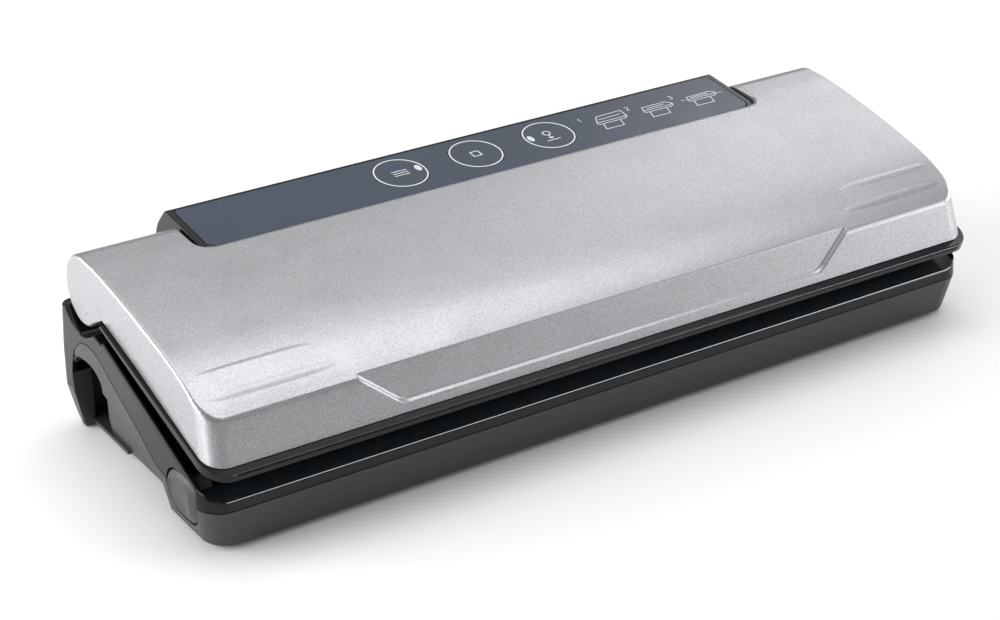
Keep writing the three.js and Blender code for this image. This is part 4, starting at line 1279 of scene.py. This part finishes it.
class SEALER_OT_stage(bpy.types.Operator):
    """A pale floor, soft lights and the camera"""
    bl_idname = "sealer.stage"
    bl_label = "Stage"

    def execute(self, context):
        stage = context.scene.sealer_stage
        bpy.ops.mesh.primitive_plane_add(size=40.0)
        floor = context.object
        floor.name = "floor"
        look = Shader("pale_floor")
        speckled(look, (stage.floor,) * 3, 0.01, 3.0)
        look.roughness(look.span(look.noise(4.0), 0.75, 0.85))
        floor.data.materials.append(look.material)
        world = bpy.data.worlds.new("studio")
        world.use_nodes = True
        background = world.node_tree.nodes["Background"]
        background.inputs["Color"].default_value = (0.96, 0.98, 1.0, 1.0)
        background.inputs["Strength"].default_value = stage.fill
        context.scene.world = world
        lights = {name: self.light(name, *spec, getattr(stage, name)) for name, spec in LIGHTS.items()}
        lights["front_strip"].light_linking.receiver_collection = bpy.data.collections.new(GLOSSY)
        self.camera(context, stage)
        context.scene.view_settings.view_transform = "Standard"
        return {"FINISHED"}

    @staticmethod
    def light(name, place, target, size, radiance):
        """A softbox, with its power worked out from its brightness and size."""
        lamp = bpy.data.lights.new(name, "AREA")
        lamp.shape = "RECTANGLE"
        lamp.size, lamp.size_y = size
        lamp.energy = radiance * pi * size[0] * size[1]
        obj = bpy.data.objects.new(name, lamp)
        bpy.context.scene.collection.objects.link(obj)
        obj.location = place
        obj.rotation_euler = (Vector(target) - Vector(place)).to_track_quat("-Z", "Y").to_euler()
        return obj

    @staticmethod
    def camera(context, stage):
        """The camera, from the stage's values."""
        lens = bpy.data.cameras.new("camera")
        lens.lens = stage.lens
        obj = bpy.data.objects.new("camera", lens)
        context.scene.collection.objects.link(obj)
        obj.location = stage.camera_place
        obj.rotation_euler = (pi / 2 - stage.camera_down, 0, stage.camera_turn)
        context.scene.camera = obj


def number(name, description, default, low=0.0, high=100.0, **more):
    return bpy.props.FloatProperty(
        name=name, description=description, default=default, min=low, max=high, **more)


def color(name, description, default):
    return bpy.props.FloatVectorProperty(
        name=name, description=description, default=default, size=3, min=0.0, max=1.0, subtype="COLOR")


class SEALER_PG_sizes(bpy.types.PropertyGroup):
    edge: number("Base edges", "Rounding of the base's edges, in millimetres", 0.9, 0.2, 2.0)
    lid_edge: number("Lid edges", "Rounding of the lid's upper edges, in millimetres", 1.5, 0.5, 3.0)


class SEALER_PG_finish(bpy.types.PropertyGroup):
    silver: color("Silver", "Paint of the lid cover", (0.455, 0.46, 0.475))
    black: color("Black", "Gloss plastic of the rim, pod and upper base", (0.004, 0.005, 0.006))
    grey: color("Grey", "Satin plastic of the lower base", (0.036, 0.0355, 0.037))
    slate: color("Slate", "Film of the control panel", (0.038, 0.052, 0.08))
    silver_roughness: number("Silver roughness", "Roughness of the lid paint", 0.37, 0.1, 0.9)
    black_roughness: number("Black roughness", "Roughness of the gloss plastic", 0.10, 0.05, 0.9)


class SEALER_PG_stage(bpy.types.PropertyGroup):
    floor: number("Floor", "Paleness of the floor", 0.96, 0.0, 1.0)
    fill: number("Fill", "Brightness of the light from all round", 0.24)
    overhead: number("Overhead", "Brightness of the top softbox", 2.3)
    left_side: number("Left", "Brightness of the left softbox", 5.2)
    right_side: number("Right", "Brightness of the right softbox", 3.5)
    right_back: number("Right back", "Brightness of the softbox behind on the right", 1.65)
    far_back: number("Far back", "Brightness of the far softbox", 0.5)
    front_strip: number("Front strip", "Brightness of the strip light on the gloss pieces", 30.0)
    lens: number("Lens", "Focal length on a 36 mm sensor", 83.93, 1.0, 500.0, unit="CAMERA")
    camera_place: bpy.props.FloatVectorProperty(
        name="Camera place", description="Where the camera stands", default=(-0.5028, -0.73745, 0.4766),
        size=3, subtype="TRANSLATION", unit="LENGTH")
    camera_down: number(
        "Camera down", "How far the camera looks down", radians(26.833), -pi / 2, pi / 2, subtype="ANGLE")
    camera_turn: number(
        "Camera turn", "How far the camera is turned about the vertical", radians(-33.41), -pi, pi,
        subtype="ANGLE")


STEPS = [
    SEALER_OT_stage, SEALER_OT_inner_finishes, SEALER_OT_base, SEALER_OT_lid, SEALER_OT_controls,
    SEALER_OT_drawings, SEALER_OT_seals, SEALER_OT_releases, SEALER_OT_underside]


class SEALER_PT_panel(bpy.types.Panel):
    """Lists the sealer's pieces"""
    bl_idname = "SEALER_PT_panel"
    bl_label = "Vacuum sealer"
    bl_space_type = "VIEW_3D"
    bl_region_type = "UI"
    bl_category = "Sealer"

    def draw(self, context):
        for group in (context.scene.sealer_sizes, context.scene.sealer_finish, context.scene.sealer_stage):
            for key in group.__annotations__:
                self.layout.prop(group, key)
        for step in STEPS:
            self.layout.operator(step.bl_idname)


GROUPS = {"sealer_sizes": SEALER_PG_sizes, "sealer_finish": SEALER_PG_finish, "sealer_stage": SEALER_PG_stage}


def register():
    for cls in (*GROUPS.values(), *STEPS, SEALER_PT_panel):
        bpy.utils.register_class(cls)
    for name, group in GROUPS.items():
        setattr(bpy.types.Scene, name, bpy.props.PointerProperty(type=group))


def unregister():
    for name in GROUPS:
        delattr(bpy.types.Scene, name)
    for cls in (SEALER_PT_panel, *STEPS, *GROUPS.values()):
        bpy.utils.unregister_class(cls)


def main():
    register()
    for step in STEPS:
        group, name = step.bl_idname.split(".")
        getattr(getattr(bpy.ops, group), name)()


if __name__ == "__main__":
    main()
